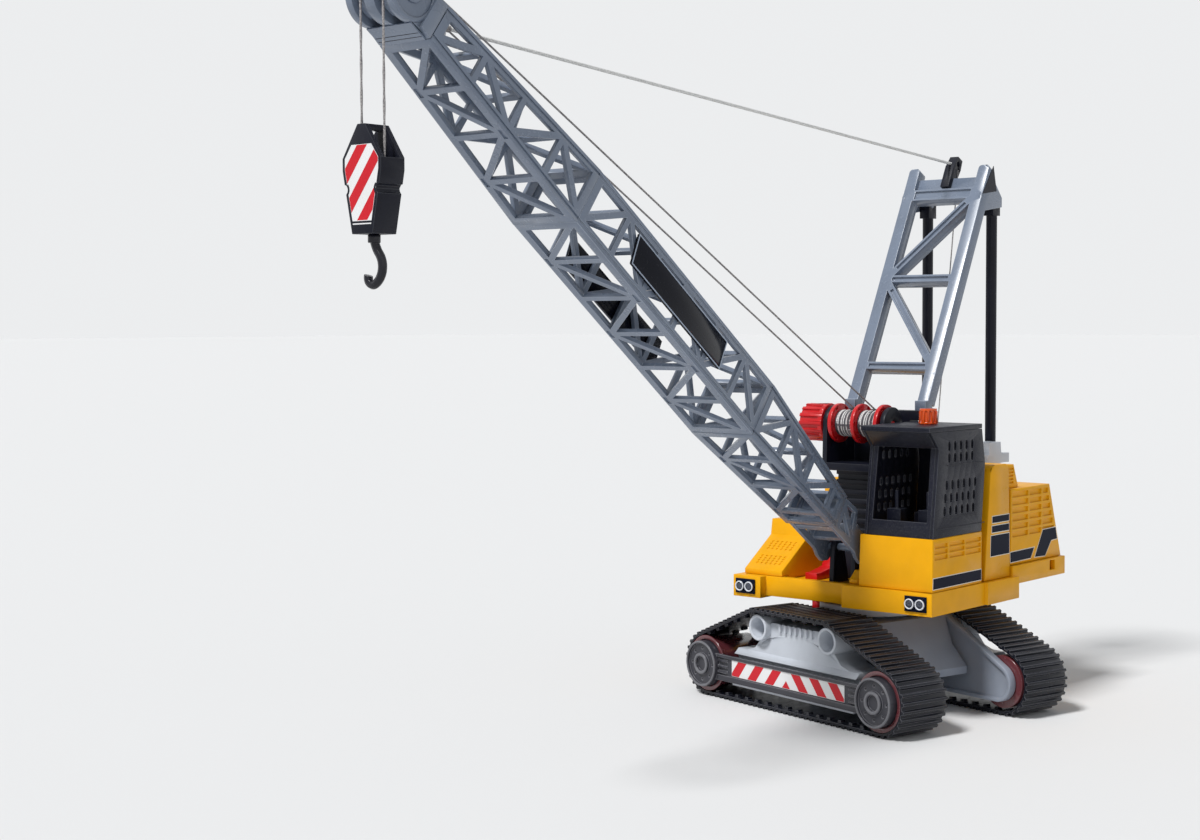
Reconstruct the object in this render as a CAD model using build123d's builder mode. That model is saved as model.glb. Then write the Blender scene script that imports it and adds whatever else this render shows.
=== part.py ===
from build123d import *
import os
from math import cos, sin, tan, atan2, radians, degrees, hypot

os.makedirs("parts", exist_ok=True)

# Frame: origin on the ground under the slew axis, +X along the boom, +Y to the cab side, +Z up
gap = 0.3          # seat between pieces of one body
run = 0.35         # clearance of turning pieces on their pins

# Undercarriage, its length along U (turned from X by track_yaw about Z) and its width along V
track_yaw = 76.0
wheel_half = 102.0      # half the wheel base
wheel_z = 27.0          # height of the wheel axles, also the outside radius of the track's ends
lug_height = 2.0
lug_foot, lug_tip = 3.4, 2.0        # length of a lug along the track at its foot and at its tip
lug_pitch = 6.1
band = 1.6              # thickness of the track band
tooth, tooth_long = 2.0, 4.2        # inner teeth: height and length along the track
tooth_rows = (46.5, 82.5)           # inner edge of each row across the track
tooth_wide = 5.0
track_in, track_out = 44.0, 90.0
boss_u, boss_z, boss_r = 41.0, 64.0, 10.5
tube_wall = 2.2
wheel_r = wheel_z - lug_height - band - gap
tread_r = wheel_r - tooth - gap
rim_t = 1.8             # width of the wheels' rims
axle_r = 4.0
hub_in, hub_face, hub_r = 85.0, 96.0, 19.0
hub_ring, hub_sunk = 2.0, 2.0       # width and depth of the hub's raised edge
hub_boss, hub_hole = 9.0, 6.0
bolt_ring, bolt_r = 13.0, 1.3
plate_in, web_out, bar_out = 89.7, 91.0, 92.5
bar_low, bar_top = 15.8, 37.5
rail_low, rail_top = 4.7, 2.5       # heights of the bar's two rails
frame_in = 37.0                     # inner faces of the side frames
frame_rim = 3.0
stub_out = 52.0
turntable_r, turntable_top = 43.0, 84.0
post_r = 10.0

# Upper structure
half_w = 93.2
front_x, rear_x, beam_x = 61.7, -158.0, 54.0
skirt_low, skirt_top, skirt_t = 86.0, 103.7, 4.0
rear_skirt_low, rear_skirt_top = 97.0, 112.0
floor_low, floor_top = 97.0, 101.0
ped_x, ped_rear, ped_in, ped_out, ped_top = 58.0, -18.0, 25.6, 91.5, 144.7
wall = 2.4              # moulded walls
hood_y, hood_front, hood_top = 90.0, -68.0, 174.5
hood_top_rear, hood_low_rear = -135.0, -156.5
pivot_x, pivot_z, pivot_r = 34.0, 130.0, 3.0

# Cab
cab_in, cab_out = 30.0, 91.2
cab_low, cab_top = ped_top + gap, 230.0

# Gantry, measured in its own leaning plane from its foot
leg_in, leg_w, leg_t = 28.6, 10.0, 11.0
foot_x, foot_z = -26.7, 238.4
lean = 26.7
leg_long = 226.0
strut_x, strut_y, strut_r, strut_pin = -141.0, 31.1, 4.6, 2.4
eye_z, eye_r, eye_drop = 411.5, 6.2, 11.0
base_low, base_step, base_top = hood_top + gap, 198.0, 208.0

# Winch
winch_x, winch_z = 5.0, 228.0
cheek_out, cheek_in, cheek_t = -34.0, 20.0, 4.0
flange_r, drum_r, shaft_r = 16.0, 8.0, 3.0
wound_r = 10.5
string_r = 0.75

# Boom, measured along S from its pivot and across H, tilted above level
boom_tilt = 37.0
head_s, head_h = 620.0, 2.0
cheek_r, groove_r = 18.5, 14.5
fall_y = 9.7
strip = 6.0             # width of the chords' flanges
skin = 3.4              # thickness of the lattice's faces
brace = 4.4
bay = 40.0
head_x = pivot_x + head_s * cos(radians(boom_tilt)) - head_h * sin(radians(boom_tilt))
head_z = pivot_z + head_s * sin(radians(boom_tilt)) + head_h * cos(radians(boom_tilt))
fall_x = head_x + groove_r + string_r

# Hook block
block_top, block_low = 427.0, 363.0
plate_t, block_t = 3.0, 19.0
block_sheave_z = 404.0


def save(piece, name):
    piece.part.label = name
    export_step(piece.part, "parts/" + name + ".step")


def save_turned(piece, name):
    # the undercarriage is drawn with its length on X and stored turned by track_yaw
    solid = piece.part.rotate(Axis.Z, track_yaw)
    solid.label = name
    export_step(solid, "parts/" + name + ".step")


def boom_point(s, y, h):
    a = radians(boom_tilt)
    return Vector(pivot_x + s * cos(a) - h * sin(a), y, pivot_z + s * sin(a) + h * cos(a))


def boom_side(y):
    # local x is S and local y is H, on the plane at the given y
    a = radians(boom_tilt)
    return Plane(origin=(pivot_x, y, pivot_z), x_dir=(cos(a), 0, sin(a)), z_dir=(0, -1, 0))


# Track loop: the tight outline round two wheels and two bosses, grown by an offset
boss_ring = boss_r + tooth + gap


def loop(offset):
    rings = [(-wheel_half, wheel_z, wheel_r), (-boss_u, boss_z, boss_ring),
             (boss_u, boss_z, boss_ring), (wheel_half, wheel_z, wheel_r)]
    with BuildSketch(Plane.XZ) as outline:
        with BuildLine():
            for u, z, r in rings:
                CenterArc((u, z), r + offset, 0, 360)
        make_hull()
    return outline.sketch


def round_the_loop(offset, pitch):
    # places set round the loop at equal steps, an even number of them, each with its second axis pointing out
    edge = loop(offset).faces()[0].outer_wire()
    count = 2 * round(edge.length / pitch / 2)
    places = []
    for i in range(count):
        at, way = edge.position_at(i / count), edge.tangent_at(i / count)
        if Vector(-way.Z, 0, way.X).dot(at - Vector(0, 0, (wheel_z + boss_z) / 2)) < 0:
            way = way * -1
        places.append(Location((at.X, at.Z, 0), (0, 0, degrees(atan2(way.Z, way.X)))))
    return places


# Tracks: a band with lugs outside and two rows of teeth inside
with BuildPart() as track_left:
    with BuildSketch(Plane.XZ.offset(-track_in)):
        add(loop(gap + band))
        with Locations(*round_the_loop(gap + band, lug_pitch)):
            Polygon((-lug_foot / 2, -band / 4), (lug_foot / 2, -band / 4), (lug_tip / 2, lug_height),
                    (-lug_tip / 2, lug_height), align=None)
        add(loop(gap), mode=Mode.SUBTRACT)
    extrude(amount=-(track_out - track_in))
    for row in tooth_rows:
        with BuildSketch(Plane.XZ.offset(-row)):
            with Locations(*round_the_loop(gap, 2 * lug_pitch)):
                Polygon((-tooth_long / 2, band / 4), (tooth_long / 2, band / 4), (tooth_long / 2 - 0.6, -tooth),
                        (-tooth_long / 2 + 0.6, -tooth), align=None)
        extrude(amount=-tooth_wide)
save_turned(track_left, "track_left")
with BuildPart() as track_right:
    mirror(track_left.part, about=Plane.XZ)
save_turned(track_right, "track_right")

# Wheels: treads with an outer rim, hollowed for the hub discs, with a bore for their axle
with BuildPart() as wheels:
    for side in (1, -1):
        for u in (-wheel_half, wheel_half):
            with BuildSketch(Plane(origin=(u, 0, wheel_z), x_dir=(0, side, 0), z_dir=(-side, 0, 0))):
                Polygon((track_in + gap, axle_r + gap), (track_in + gap, tread_r), (track_out - gap - rim_t, tread_r),
                        (track_out - gap - rim_t, wheel_r), (plate_in - gap, wheel_r), (plate_in - gap, hub_r + 0.6),
                        (hub_in - gap, hub_r + 0.6), (hub_in - gap, axle_r + gap), align=None)
            revolve(axis=Axis((u, 0, wheel_z), (0, 1, 0)))
save_turned(wheels, "wheels")

# Side castings inside the loops: bench, sill, ribs and the tube bosses that carry the tracks' tops
bench_z, bench_out = 43.0, 84.6
sill_low, sill_top, sill_out = 12.5, 15.3, 86.5
casting_face, casting_half = 80.0, 72.0
tube_out = 86.0
rib_count, rib_pitch = 7, 6.2
casting_outline = ((-casting_half, bench_z - 5), (casting_half, bench_z - 5), (casting_half, bench_z), (60, bench_z),
                   (51, 46), (30, 69), (-30, 69), (-51, 46), (-60, bench_z), (-casting_half, bench_z))
for side, name in ((1, "casting_left"), (-1, "casting_right")):
    with BuildPart() as casting:
        with BuildSketch(Plane.XZ.offset(-side * (stub_out + gap))):
            Polygon(*casting_outline, align=None)
        extrude(amount=-side * (casting_face - stub_out - gap))
        with BuildSketch(Plane.YZ.offset(-casting_half)):
            Polygon((side * (casting_face - 2.5), bench_z), (side * casting_face, bench_z),
                    (side * bench_out, bench_z - 4.5), (side * casting_face, bench_z - 4.5),
                    (side * casting_face, sill_top), (side * sill_out, sill_top), (side * sill_out, sill_low),
                    (side * (casting_face - 2.5), sill_low), align=None)
        extrude(amount=2 * casting_half)
        with BuildSketch(Plane.XZ.offset(-side * casting_face)):
            with GridLocations(rib_pitch, 1, rib_count, 1):
                Polygon((-1.2, 62), (1.2, 62), (1.2, 69), (-1.2, 69), align=None)
        extrude(amount=-side * 2.0)
        with BuildSketch(Plane.XZ.offset(-side * (stub_out + gap))):
            with Locations((-boss_u, boss_z), (boss_u, boss_z)):
                Circle(boss_r)
        extrude(amount=-side * (tube_out - stub_out - gap))
        with BuildSketch(Plane.XZ.offset(-side * tube_out)):
            with Locations((-boss_u, boss_z), (boss_u, boss_z)):
                Circle(boss_r - tube_wall)
        extrude(amount=side * 14.0, mode=Mode.SUBTRACT)
    save_turned(casting, name)

# Side bars: a sunk panel between two rails, ribbed ends and the hub discs
bar_mid = (bar_low + rail_low + bar_top - rail_top) / 2
for side, name in ((1, "side_bar_left"), (-1, "side_bar_right")):
    with BuildPart() as bar:
        with BuildSketch(Plane.XZ.offset(-side * plate_in)):
            with Locations((0, (bar_low + bar_top) / 2)):
                Rectangle(2 * wheel_half, bar_top - bar_low)
        extrude(amount=-side * (bar_out - plate_in))
        with BuildSketch(Plane.XZ.offset(-side * bar_out)):
            with Locations((0, bar_mid)):
                Rectangle(2 * wheel_half, bar_top - bar_low - rail_low - rail_top)
        extrude(amount=side * (bar_out - web_out), mode=Mode.SUBTRACT)
        with BuildSketch(Plane.XZ.offset(-side * web_out)):
            with Locations((-wheel_half + 24, bar_mid), (wheel_half - 24, bar_mid)):
                with GridLocations(1, 4.6, 1, 3):
                    Rectangle(11, 1.8)
        extrude(amount=-side * (bar_out - web_out))
        with BuildSketch(Plane.XZ.offset(-side * hub_in)):
            with Locations((-wheel_half, wheel_z), (wheel_half, wheel_z)):
                Circle(hub_r)
        extrude(amount=-side * (hub_face - hub_in))
        with BuildSketch(Plane.XZ.offset(-side * hub_face)):
            with Locations((-wheel_half, wheel_z), (wheel_half, wheel_z)):
                Circle(hub_r - hub_ring)
                Circle(hub_boss, mode=Mode.SUBTRACT)
                Circle(hub_hole)
        extrude(amount=side * hub_sunk, mode=Mode.SUBTRACT)
        with BuildSketch(Plane.XZ.offset(-side * (hub_face - hub_sunk))):
            with Locations((-wheel_half, wheel_z), (wheel_half, wheel_z)):
                with PolarLocations(bolt_ring, 8):
                    RegularPolygon(bolt_r, 6)
        extrude(amount=side * 1.0, mode=Mode.SUBTRACT)
    save_turned(bar, name)

# Chassis body between the side frames, wider at its foot
with BuildPart() as chassis:
    with BuildSketch(Plane.XZ):
        Polygon((-48, 74), (48, 74), (56, 52), (72, 36), (72, 30), (-72, 30), (-72, 36), (-56, 52), align=None)
    extrude(amount=frame_in - gap, both=True)
save_turned(chassis, "chassis_body")

# Tapered side frames, sunk on their inner faces, with the stubs for the castings and the axles
frame_rings = ((-wheel_half, wheel_z, 15.0), (-boss_u, boss_z, 12.0), (boss_u, boss_z, 12.0),
               (wheel_half, wheel_z, 15.0))


def frame_outline(inset):
    with BuildSketch(Plane.XZ) as outline:
        with BuildLine():
            for u, z, r in frame_rings:
                CenterArc((u, z), r - inset, 0, 360)
        make_hull()
    return outline.sketch


for side, name in ((1, "inner_frame_left"), (-1, "inner_frame_right")):
    with BuildPart() as inner:
        with BuildSketch(Plane.XZ.offset(-side * frame_in)):
            add(frame_outline(0))
        extrude(amount=-side * (track_in - gap - frame_in))
        with BuildSketch(Plane.XZ.offset(-side * frame_in)):
            add(frame_outline(frame_rim))
        extrude(amount=-side * 2.5, mode=Mode.SUBTRACT)
        with BuildSketch(Plane.XZ.offset(-side * 40.0)):
            with Locations((0, 54)):
                Rectangle(56, 20)
        extrude(amount=-side * (stub_out - 40.0))
        with BuildSketch(Plane.XZ.offset(-side * 40.0)):
            with Locations((-wheel_half, wheel_z), (wheel_half, wheel_z)):
                Circle(axle_r)
        extrude(amount=-side * (hub_in - gap - 40.0))
    save_turned(inner, name)

# Turntable ring with the slewing post
with BuildPart() as turntable:
    with BuildSketch(Plane.XY.offset(76.3)):
        Circle(turntable_r)
    extrude(amount=turntable_top - 76.3)
    with BuildSketch(Plane.XY.offset(74.3)):
        Circle(30)
    extrude(amount=2.0)
    with BuildSketch(Plane.XY.offset(turntable_top)):
        Circle(post_r)
    extrude(amount=16.0)
save_turned(turntable, "turntable")

# Deck: floor, slewing boss, front beam, lamp block, cab-side section, skirts and pillar ledge
with BuildPart() as deck:
    with BuildSketch(Plane.XY.offset(floor_low)):
        with Locations(((rear_x + beam_x) / 2, 0)):
            Rectangle(beam_x - rear_x, 2 * half_w)
    extrude(amount=floor_top - floor_low)
    with BuildSketch(Plane.XY.offset(turntable_top + 0.5)):
        Circle(40)
    extrude(amount=floor_low - turntable_top - 0.5)
    blocks = (  # x0, x1, y0, y1, z0, z1
        (beam_x - 6, beam_x, -62.0, 12.0, 87.5, skirt_top),
        (44.0, front_x, -half_w, -66.0, skirt_low, skirt_top),
        (44.0, front_x, 12.0, half_w, skirt_low, skirt_top),
        (beam_x - 12, beam_x, -70.0, -58.0, 87.5, skirt_top),
        (-22.0, front_x, half_w - skirt_t, half_w, skirt_low, skirt_top),
        (-22.0, front_x, -half_w, -half_w + skirt_t, skirt_low, skirt_top),
        (-72.0, -20.0, half_w - skirt_t, 96.0, skirt_low, skirt_top),
        (-72.0, -20.0, -half_w, -half_w + skirt_t, rear_skirt_low, skirt_top),
        (rear_x, -66.0, half_w - skirt_t, half_w, rear_skirt_low, rear_skirt_top),
        (rear_x, -66.0, -half_w, -half_w + skirt_t, rear_skirt_low, rear_skirt_top),
        (rear_x, rear_x + skirt_t, -half_w, half_w, rear_skirt_low, rear_skirt_top),
    )
    for x0, x1, y0, y1, z0, z1 in blocks:
        with BuildSketch(Plane.XY.offset(z0)):
            with Locations(((x0 + x1) / 2, (y0 + y1) / 2)):
                Rectangle(x1 - x0, y1 - y0)
        extrude(amount=z1 - z0)
    with BuildSketch(Plane.XY.offset(turntable_top)):
        Circle(post_r + run)
    extrude(amount=30, mode=Mode.SUBTRACT)
    for side in (1, -1):
        with BuildSketch(Plane.XZ.offset(-side * half_w)):
            with Locations((rear_x + 23, (rear_skirt_top + floor_top) / 2)):
                Rectangle(9.0, 8.0)
        extrude(amount=side * skirt_t, mode=Mode.SUBTRACT)
save(deck, "deck")

# Cab pedestal, a hollow box under the cab with three columns of vents in its side
vent_columns = ((35.3, 54.2), (9.4, 32.1), (ped_rear + 1.6, 7.2))
vent_rows, vent_pitch, vent_high, vent_deep = 3, 4.4, 3.0, 1.4
with BuildPart() as pedestal:
    with BuildSketch(Plane.YZ.offset(ped_rear)):
        Polygon((ped_in, floor_top + gap), (half_w - skirt_t - gap, floor_top + gap),
                (half_w - skirt_t - gap, skirt_top + gap), (ped_out, skirt_top + gap),
                (ped_out, ped_top), (ped_in + 1.5, ped_top), align=None)
    extrude(amount=ped_x - 3.0 - ped_rear)
    with BuildSketch(Plane.YZ.offset(44.0)):
        Polygon((ped_in, skirt_top + gap), (ped_out, skirt_top + gap),
                (ped_out, ped_top), (ped_in + 1.5, ped_top), align=None)
    extrude(amount=ped_x - 44.0)
    with BuildSketch(Plane.XY.offset(floor_top + gap)):
        with Locations(((ped_rear + 44.0) / 2, (ped_in + ped_out) / 2)):
            Rectangle(44.0 - ped_rear - 2 * wall, ped_out - ped_in - 5 * wall)
    extrude(amount=ped_top - floor_top - gap - wall, mode=Mode.SUBTRACT)
    with BuildSketch(Plane.XY.offset(floor_top)):
        with Locations((50.0, 60)):
            Rectangle(12.6, 90)
    extrude(amount=skirt_top + gap - floor_top, mode=Mode.SUBTRACT)
    with BuildSketch(Plane.XZ.offset(-ped_out)):
        for x0, x1 in vent_columns:
            with Locations(((x0 + x1) / 2, ped_top - 10.2)):
                with GridLocations(1, vent_pitch, 1, vent_rows):
                    Rectangle(x1 - x0, vent_high)
    extrude(amount=vent_deep, mode=Mode.SUBTRACT)
save(pedestal, "cab_pedestal")

# Sloped front housing on the machine's right, its slope pierced by two fields of holes
with BuildPart() as housing:
    with BuildSketch(Plane.XZ.offset(51.5)):
        Polygon((41.5, floor_top + gap), (41.5, skirt_top + gap), (52, skirt_top + gap), (52, 108), (15, 133),
                (13, 146), (-18, 146), (-18, floor_top + gap), align=None)
    extrude(amount=88.7 - 51.5)
    slope = Plane(origin=(52, -69.75, 108), x_dir=(0, 1, 0), z_dir=(25, 0, 37))
    with BuildSketch(slope):
        with Locations((0, 13.2), (0, 31.6)):
            with GridLocations(4.5, 3.0, 6, 4):
                Rectangle(1.8, 1.8)
    extrude(amount=-0.9, mode=Mode.SUBTRACT)
save(housing, "front_housing")

# Small sloped wedge beside the pedestal
with BuildPart() as wedge:
    with BuildSketch(Plane.XZ.offset(-12.4)):
        Polygon((38, floor_top + gap), (43.5, floor_top + gap), (43.5, skirt_top + gap), (51, skirt_top + gap),
                (51, 107), (43, 114), (38, 114), align=None)
    extrude(amount=-8.2)
save(wedge, "side_wedge")

# Pillar behind the cab, rounded at its top
pillar_y0, pillar_y1 = 70.0, 91.0
pillar_top = 196.0
with BuildPart() as pillar:
    with BuildSketch(Plane.XZ.offset(-pillar_y0)):
        Polygon((-24, skirt_top + gap), (-33, pillar_top), (-62, pillar_top), (-65.5, skirt_top + gap), align=None)
    extrude(amount=-(pillar_y1 - pillar_y0))
    fillet(pillar.edges().filter_by(Axis.Y).group_by(Axis.Z)[-1], 6)
    with BuildSketch(Plane.XZ.offset(-pillar_y0)):
        Polygon((-24, floor_top + gap), (-24, 106), (-65.5, 106), (-65.5, floor_top + gap), align=None)
    extrude(amount=-(half_w - skirt_t - gap - pillar_y0))
save(pillar, "cab_pillar")

# Rear hood with six rows of louvres on each side
louvre_rows, louvre_pitch, louvre_high, louvre_deep = 6, 6.5, 4.0, 1.6
with BuildPart() as hood:
    with BuildSketch(Plane.XZ.offset(-hood_y)):
        Polygon((hood_front, rear_skirt_top + gap), (hood_low_rear, rear_skirt_top + gap),
                (hood_top_rear, hood_top), (hood_front, hood_top), align=None)
    extrude(amount=2 * hood_y)
    with BuildSketch(Plane.XY.offset(floor_top + gap)):
        with Locations(((hood_front + rear_x + skirt_t + gap) / 2, 0)):
            Rectangle(hood_front - rear_x - skirt_t - gap, 2 * (half_w - skirt_t - gap))
    extrude(amount=rear_skirt_top + 1.0 - floor_top)
    with BuildSketch(Plane.XZ.offset(-hood_y + 3)):
        Polygon((hood_front - 3, floor_top + gap), (hood_low_rear + 5, floor_top + gap),
                (hood_low_rear + 5, rear_skirt_top), (hood_top_rear + 3, hood_top - 3), (hood_front - 3, hood_top - 3),
                align=None)
    extrude(amount=2 * hood_y - 6, mode=Mode.SUBTRACT)
    for side in (1, -1):
        with BuildSketch(Plane.XZ.offset(-side * hood_y)):
            for i in range(louvre_rows):
                z = hood_top - 5.0 - i * louvre_pitch
                rear = hood_low_rear + (z - rear_skirt_top) * (hood_top_rear - hood_low_rear) / (
                    hood_top - rear_skirt_top)
                for x0, x1 in ((-97.5, hood_front - 3), (-120.5, -100.5), (rear + 4.5, -123.5)):
                    with Locations(((x0 + x1) / 2, z)):
                        Rectangle(x1 - x0, louvre_high)
        extrude(amount=side * louvre_deep, mode=Mode.SUBTRACT)
save(hood, "rear_hood")

# Louvred tower on the hood
with BuildPart() as tower:
    with BuildSketch(Plane.XZ.offset(-58)):
        Polygon((-68.3, hood_top + gap), (-88, hood_top + gap), (-80, 194), (-68.3, 194), align=None)
    extrude(amount=-28)
    for y, inward in ((86.0, 1), (58.0, -1)):
        with BuildSketch(Plane.XZ.offset(-y)):
            with Locations((-75.5, 184.8)):
                with GridLocations(1, 2.8, 1, 5):
                    Rectangle(8, 1.5)
        extrude(amount=inward * 1.4, mode=Mode.SUBTRACT)
save(tower, "louvre_tower")

# Lamp plates with two round lamps each
with BuildPart() as lamps:
    for y in (-80.5, 79.5):
        with BuildSketch(Plane.YZ.offset(front_x + gap)):
            with Locations((y, 95)):
                Rectangle(19, 12)
        extrude(amount=1.0)
        with BuildSketch(Plane.YZ.offset(front_x + gap)):
            with Locations((y - 4.6, 95), (y + 4.6, 95)):
                Circle(4.0)
        extrude(amount=2.2)
save(lamps, "lamp_plates")

# Red stepped lever and red peg
with BuildPart() as lever:
    with BuildSketch(Plane.XZ.offset(40.0)):
        Polygon((35.5, floor_top + gap), (35.5, 106.7), (29.5, 106.7), (16.4, 109.0), (11.4, 110.2), (11.0, 112.4),
                (9.8, 112.4), (9.5, 115.0), (8.4, 115.0), (8.1, 117.8), (3.5, 117.8), (-1, floor_top + gap),
                align=None)
    extrude(amount=-11.4)
save(lever, "red_lever")
with BuildPart() as peg:
    with BuildSketch(Plane.XY.offset(82.0)):
        with Locations((beam_x - 3.0, -19)):
            Circle(3)
    extrude(amount=87.5 - gap - 82.0)
save(peg, "red_peg")

# Boom brackets on the deck
with BuildPart() as brackets:
    for y in (8.0, -12.0):
        with BuildSketch(Plane.XZ.offset(-y)):
            with BuildLine():
                Line((pivot_x - 14, floor_top + gap), (pivot_x + 9, floor_top + gap))
                Line((pivot_x + 9, floor_top + gap), (pivot_x + 7, pivot_z))
                ThreePointArc((pivot_x + 7, pivot_z), (pivot_x, pivot_z + 7), (pivot_x - 7, pivot_z))
                Line((pivot_x - 7, pivot_z), (pivot_x - 14, floor_top + gap))
            make_face()
            with Locations((pivot_x, pivot_z)):
                Circle(pivot_r + run, mode=Mode.SUBTRACT)
        extrude(amount=-4.0)
save(brackets, "boom_brackets")

# Cab panels: an outline in XZ for the side walls, then rear wall, front frame and roof
slot_rows = (  # height, count, front slot's place
    (214.8, 5, 32.6), (205.7, 5, 32.6), (184.9, 6, 36.4), (174.9, 6, 38.4), (164.9, 6, 39.4),
)
slot_pitch, slot_wide, slot_high, slot_cut = 8.8, 3.6, 7.2, 1.2


def mesh_slots(y):
    # upright slots with cut corners, in rows, on the plane at the given y
    w, h, c = slot_wide / 2, slot_high / 2, slot_cut
    with BuildSketch(Plane.XZ.offset(-y)) as slots:
        for z, count, front in slot_rows:
            with Locations(*[(front - i * slot_pitch, z) for i in range(count)]):
                Polygon((w - c, -h), (w, c - h), (w, h - c), (w - c, h), (c - w, h), (-w, h - c), (-w, c - h),
                        (c - w, -h), align=None)
    return slots.sketch


cab_profile = ((57, cab_low), (48.5, 213.5), (60.5, 226), (-18.0, 226), (-23, 199), (-17.5, cab_low))
with BuildPart() as cab_left:
    with BuildSketch(Plane.XZ.offset(-cab_out + wall)):
        Polygon(*cab_profile, align=None)
    extrude(amount=-wall)
    extrude(mesh_slots(cab_out - wall), amount=-wall, mode=Mode.SUBTRACT)
save(cab_left, "cab_left_wall")
with BuildPart() as cab_right:
    with BuildSketch(Plane.XZ.offset(-cab_in)):
        Polygon(*cab_profile, align=None)
    extrude(amount=-wall)
    extrude(mesh_slots(cab_in), amount=-wall, mode=Mode.SUBTRACT)
save(cab_right, "cab_right_wall")
with BuildPart() as cab_rear:
    with BuildSketch(Plane.XZ.offset(-cab_in - wall - gap)):
        Polygon((-17.5, cab_low), (-23, 199), (-18.0, 226), (-18.0 + wall, 226), (-23 + wall, 199),
                (-17.5 + wall, cab_low), align=None)
    extrude(amount=-(cab_out - cab_in - 2 * wall - 2 * gap))
save(cab_rear, "cab_rear_wall")
with BuildPart() as cab_front:
    with BuildSketch(Plane.XZ.offset(-cab_in - wall - gap)):
        Polygon((57, cab_low), (48.5, 213.5), (60.5, 226), (60.5 - 4.0, 226), (48.5 - wall, 214.5),
                (57 - wall, cab_low), align=None)
    extrude(amount=-(cab_out - cab_in - 2 * wall - 2 * gap))
    with BuildSketch(Plane.YZ.offset(30)):
        Polygon((36.5, 157), (85, 157), (84, 213.5), (37.5, 213.5), align=None)
    extrude(amount=40, mode=Mode.SUBTRACT)
save(cab_front, "cab_front_frame")
with BuildPart() as roof:
    with BuildSketch(Plane.XY.offset(226 + gap)):
        with Locations(((62.5 - 18.0) / 2, (cab_in + cab_out) / 2)):
            Rectangle(80.5, cab_out - cab_in)
    extrude(amount=cab_top - 226 - gap)
save(roof, "cab_roof")
beacon_r, beacon_high = 7.2, 12.0
with BuildPart() as beacon:
    with BuildSketch(Plane.XY.offset(cab_top + gap)):
        with Locations((15, 62)):
            Circle(beacon_r - 1.0)
            with PolarLocations(beacon_r - 1.0, 12):
                Rectangle(2.0, 1.5)
    extrude(amount=beacon_high - 2.0)
    with BuildSketch(Plane.XY.offset(cab_top + gap)):
        with Locations((15, 62)):
            Circle(beacon_r)
    extrude(amount=1.5)
    with BuildSketch(Plane.XY.offset(cab_top + gap + beacon_high - 2.0)):
        with Locations((15, 62)):
            Circle(beacon_r - 0.4)
    extrude(amount=2.0)
save(beacon, "beacon")
with BuildPart() as seat:
    with BuildSketch(Plane.XZ.offset(-49)):
        Polygon((-14, cab_low), (-14, 190), (-9, 190), (-5, 160), (14, 160), (14, cab_low), align=None)
    extrude(amount=-26)
save(seat, "cab_seat")
with BuildPart() as levers:
    with BuildSketch(Plane.XY.offset(cab_low)):
        with Locations((38, 48), (38, 76)):
            Rectangle(10, 12)
    extrude(amount=20)
    with BuildSketch(Plane.XY.offset(cab_low + 20)):
        with Locations((38, 48), (38, 76)):
            Circle(1.6)
    extrude(amount=14)
save(levers, "control_levers")

# Winch frame: cheeks, rear tower, finned block and the beam that carries the gantry
fin_pitch = 8.0
with BuildPart() as frame:
    for y in (cheek_out, cheek_in):
        with BuildSketch(Plane.XZ.offset(-y)):
            with BuildLine():
                Line((-34, 196), (20, 196))
                Line((20, 196), (winch_x + 14, winch_z))
                ThreePointArc((winch_x + 14, winch_z), (winch_x, winch_z + 14), (winch_x - 14, winch_z))
                Line((winch_x - 14, winch_z), (-34, 226))
                Line((-34, 226), (-34, 196))
            make_face()
            with Locations((winch_x, winch_z)):
                Circle(shaft_r + run, mode=Mode.SUBTRACT)
        extrude(amount=-cheek_t)
    tower_blocks = (  # x0, x1, y0, y1, z0, z1
        (-34.0, -22.0, cheek_out, cheek_in + cheek_t, floor_top + gap, 229.0),
        (-34.0, -20.5, -40.0, 40.0, 229.0 + 1.6, foot_z - gap),
        (-34.0, -20.5, -34.0, 24.0, 226.0, 232.0),
        (-26.0, 8.0, -28.0, 18.0, floor_top + gap, 192.0),
        (-34.0, 20.0, cheek_out, cheek_in + cheek_t, 190.0, 196.0),
    )
    for x0, x1, y0, y1, z0, z1 in tower_blocks:
        with BuildSketch(Plane.XY.offset(z0)):
            with Locations(((x0 + x1) / 2, (y0 + y1) / 2)):
                Rectangle(x1 - x0, y1 - y0)
        extrude(amount=z1 - z0)
    with BuildSketch(Plane.XZ.offset(28.0)):
        with Locations((8.0, 156)):
            with GridLocations(1, fin_pitch, 1, 8):
                Rectangle(5.0, fin_pitch / 2)
    extrude(amount=-46.0, mode=Mode.SUBTRACT)
save(frame, "winch_frame")

# Winch drum: shaft, three flanges, two spools and the ribbed knob; the wound string is its own piece
flange_y = (-28.5, -7.0, 14.5)
knob_r, knob_long = 15.5, 22.0
flange_t = 3.4
with BuildPart() as drum:
    with BuildSketch(Plane.XZ.offset(-(cheek_in + cheek_t))):
        with Locations((winch_x, winch_z)):
            Circle(shaft_r)
    extrude(amount=cheek_in + cheek_t + 60.0)
    with BuildSketch(Plane.XZ.offset(-flange_y[2])):
        with Locations((winch_x, winch_z)):
            Circle(drum_r)
    extrude(amount=flange_y[2] - flange_y[0])
    for y in flange_y:
        with BuildSketch(Plane.XZ.offset(-y)):
            with Locations((winch_x, winch_z)):
                Circle(flange_r)
                with PolarLocations((flange_r + wound_r) / 2 + 0.6, 6):
                    Rectangle(1.6, 3.6, mode=Mode.SUBTRACT)
        extrude(amount=-flange_t)
    with BuildSketch(Plane.XZ.offset(-cheek_out + 1.0)):
        with Locations((winch_x, winch_z)):
            Circle(knob_r - 1.6)
            with PolarLocations(knob_r - 1.6, 14):
                Rectangle(3.2, 3.0)
    extrude(amount=knob_long)
    with BuildSketch(Plane.XZ.offset(-cheek_out + 1.0)):
        with Locations((winch_x, winch_z)):
            Circle(knob_r)
    extrude(amount=4.0)
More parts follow.
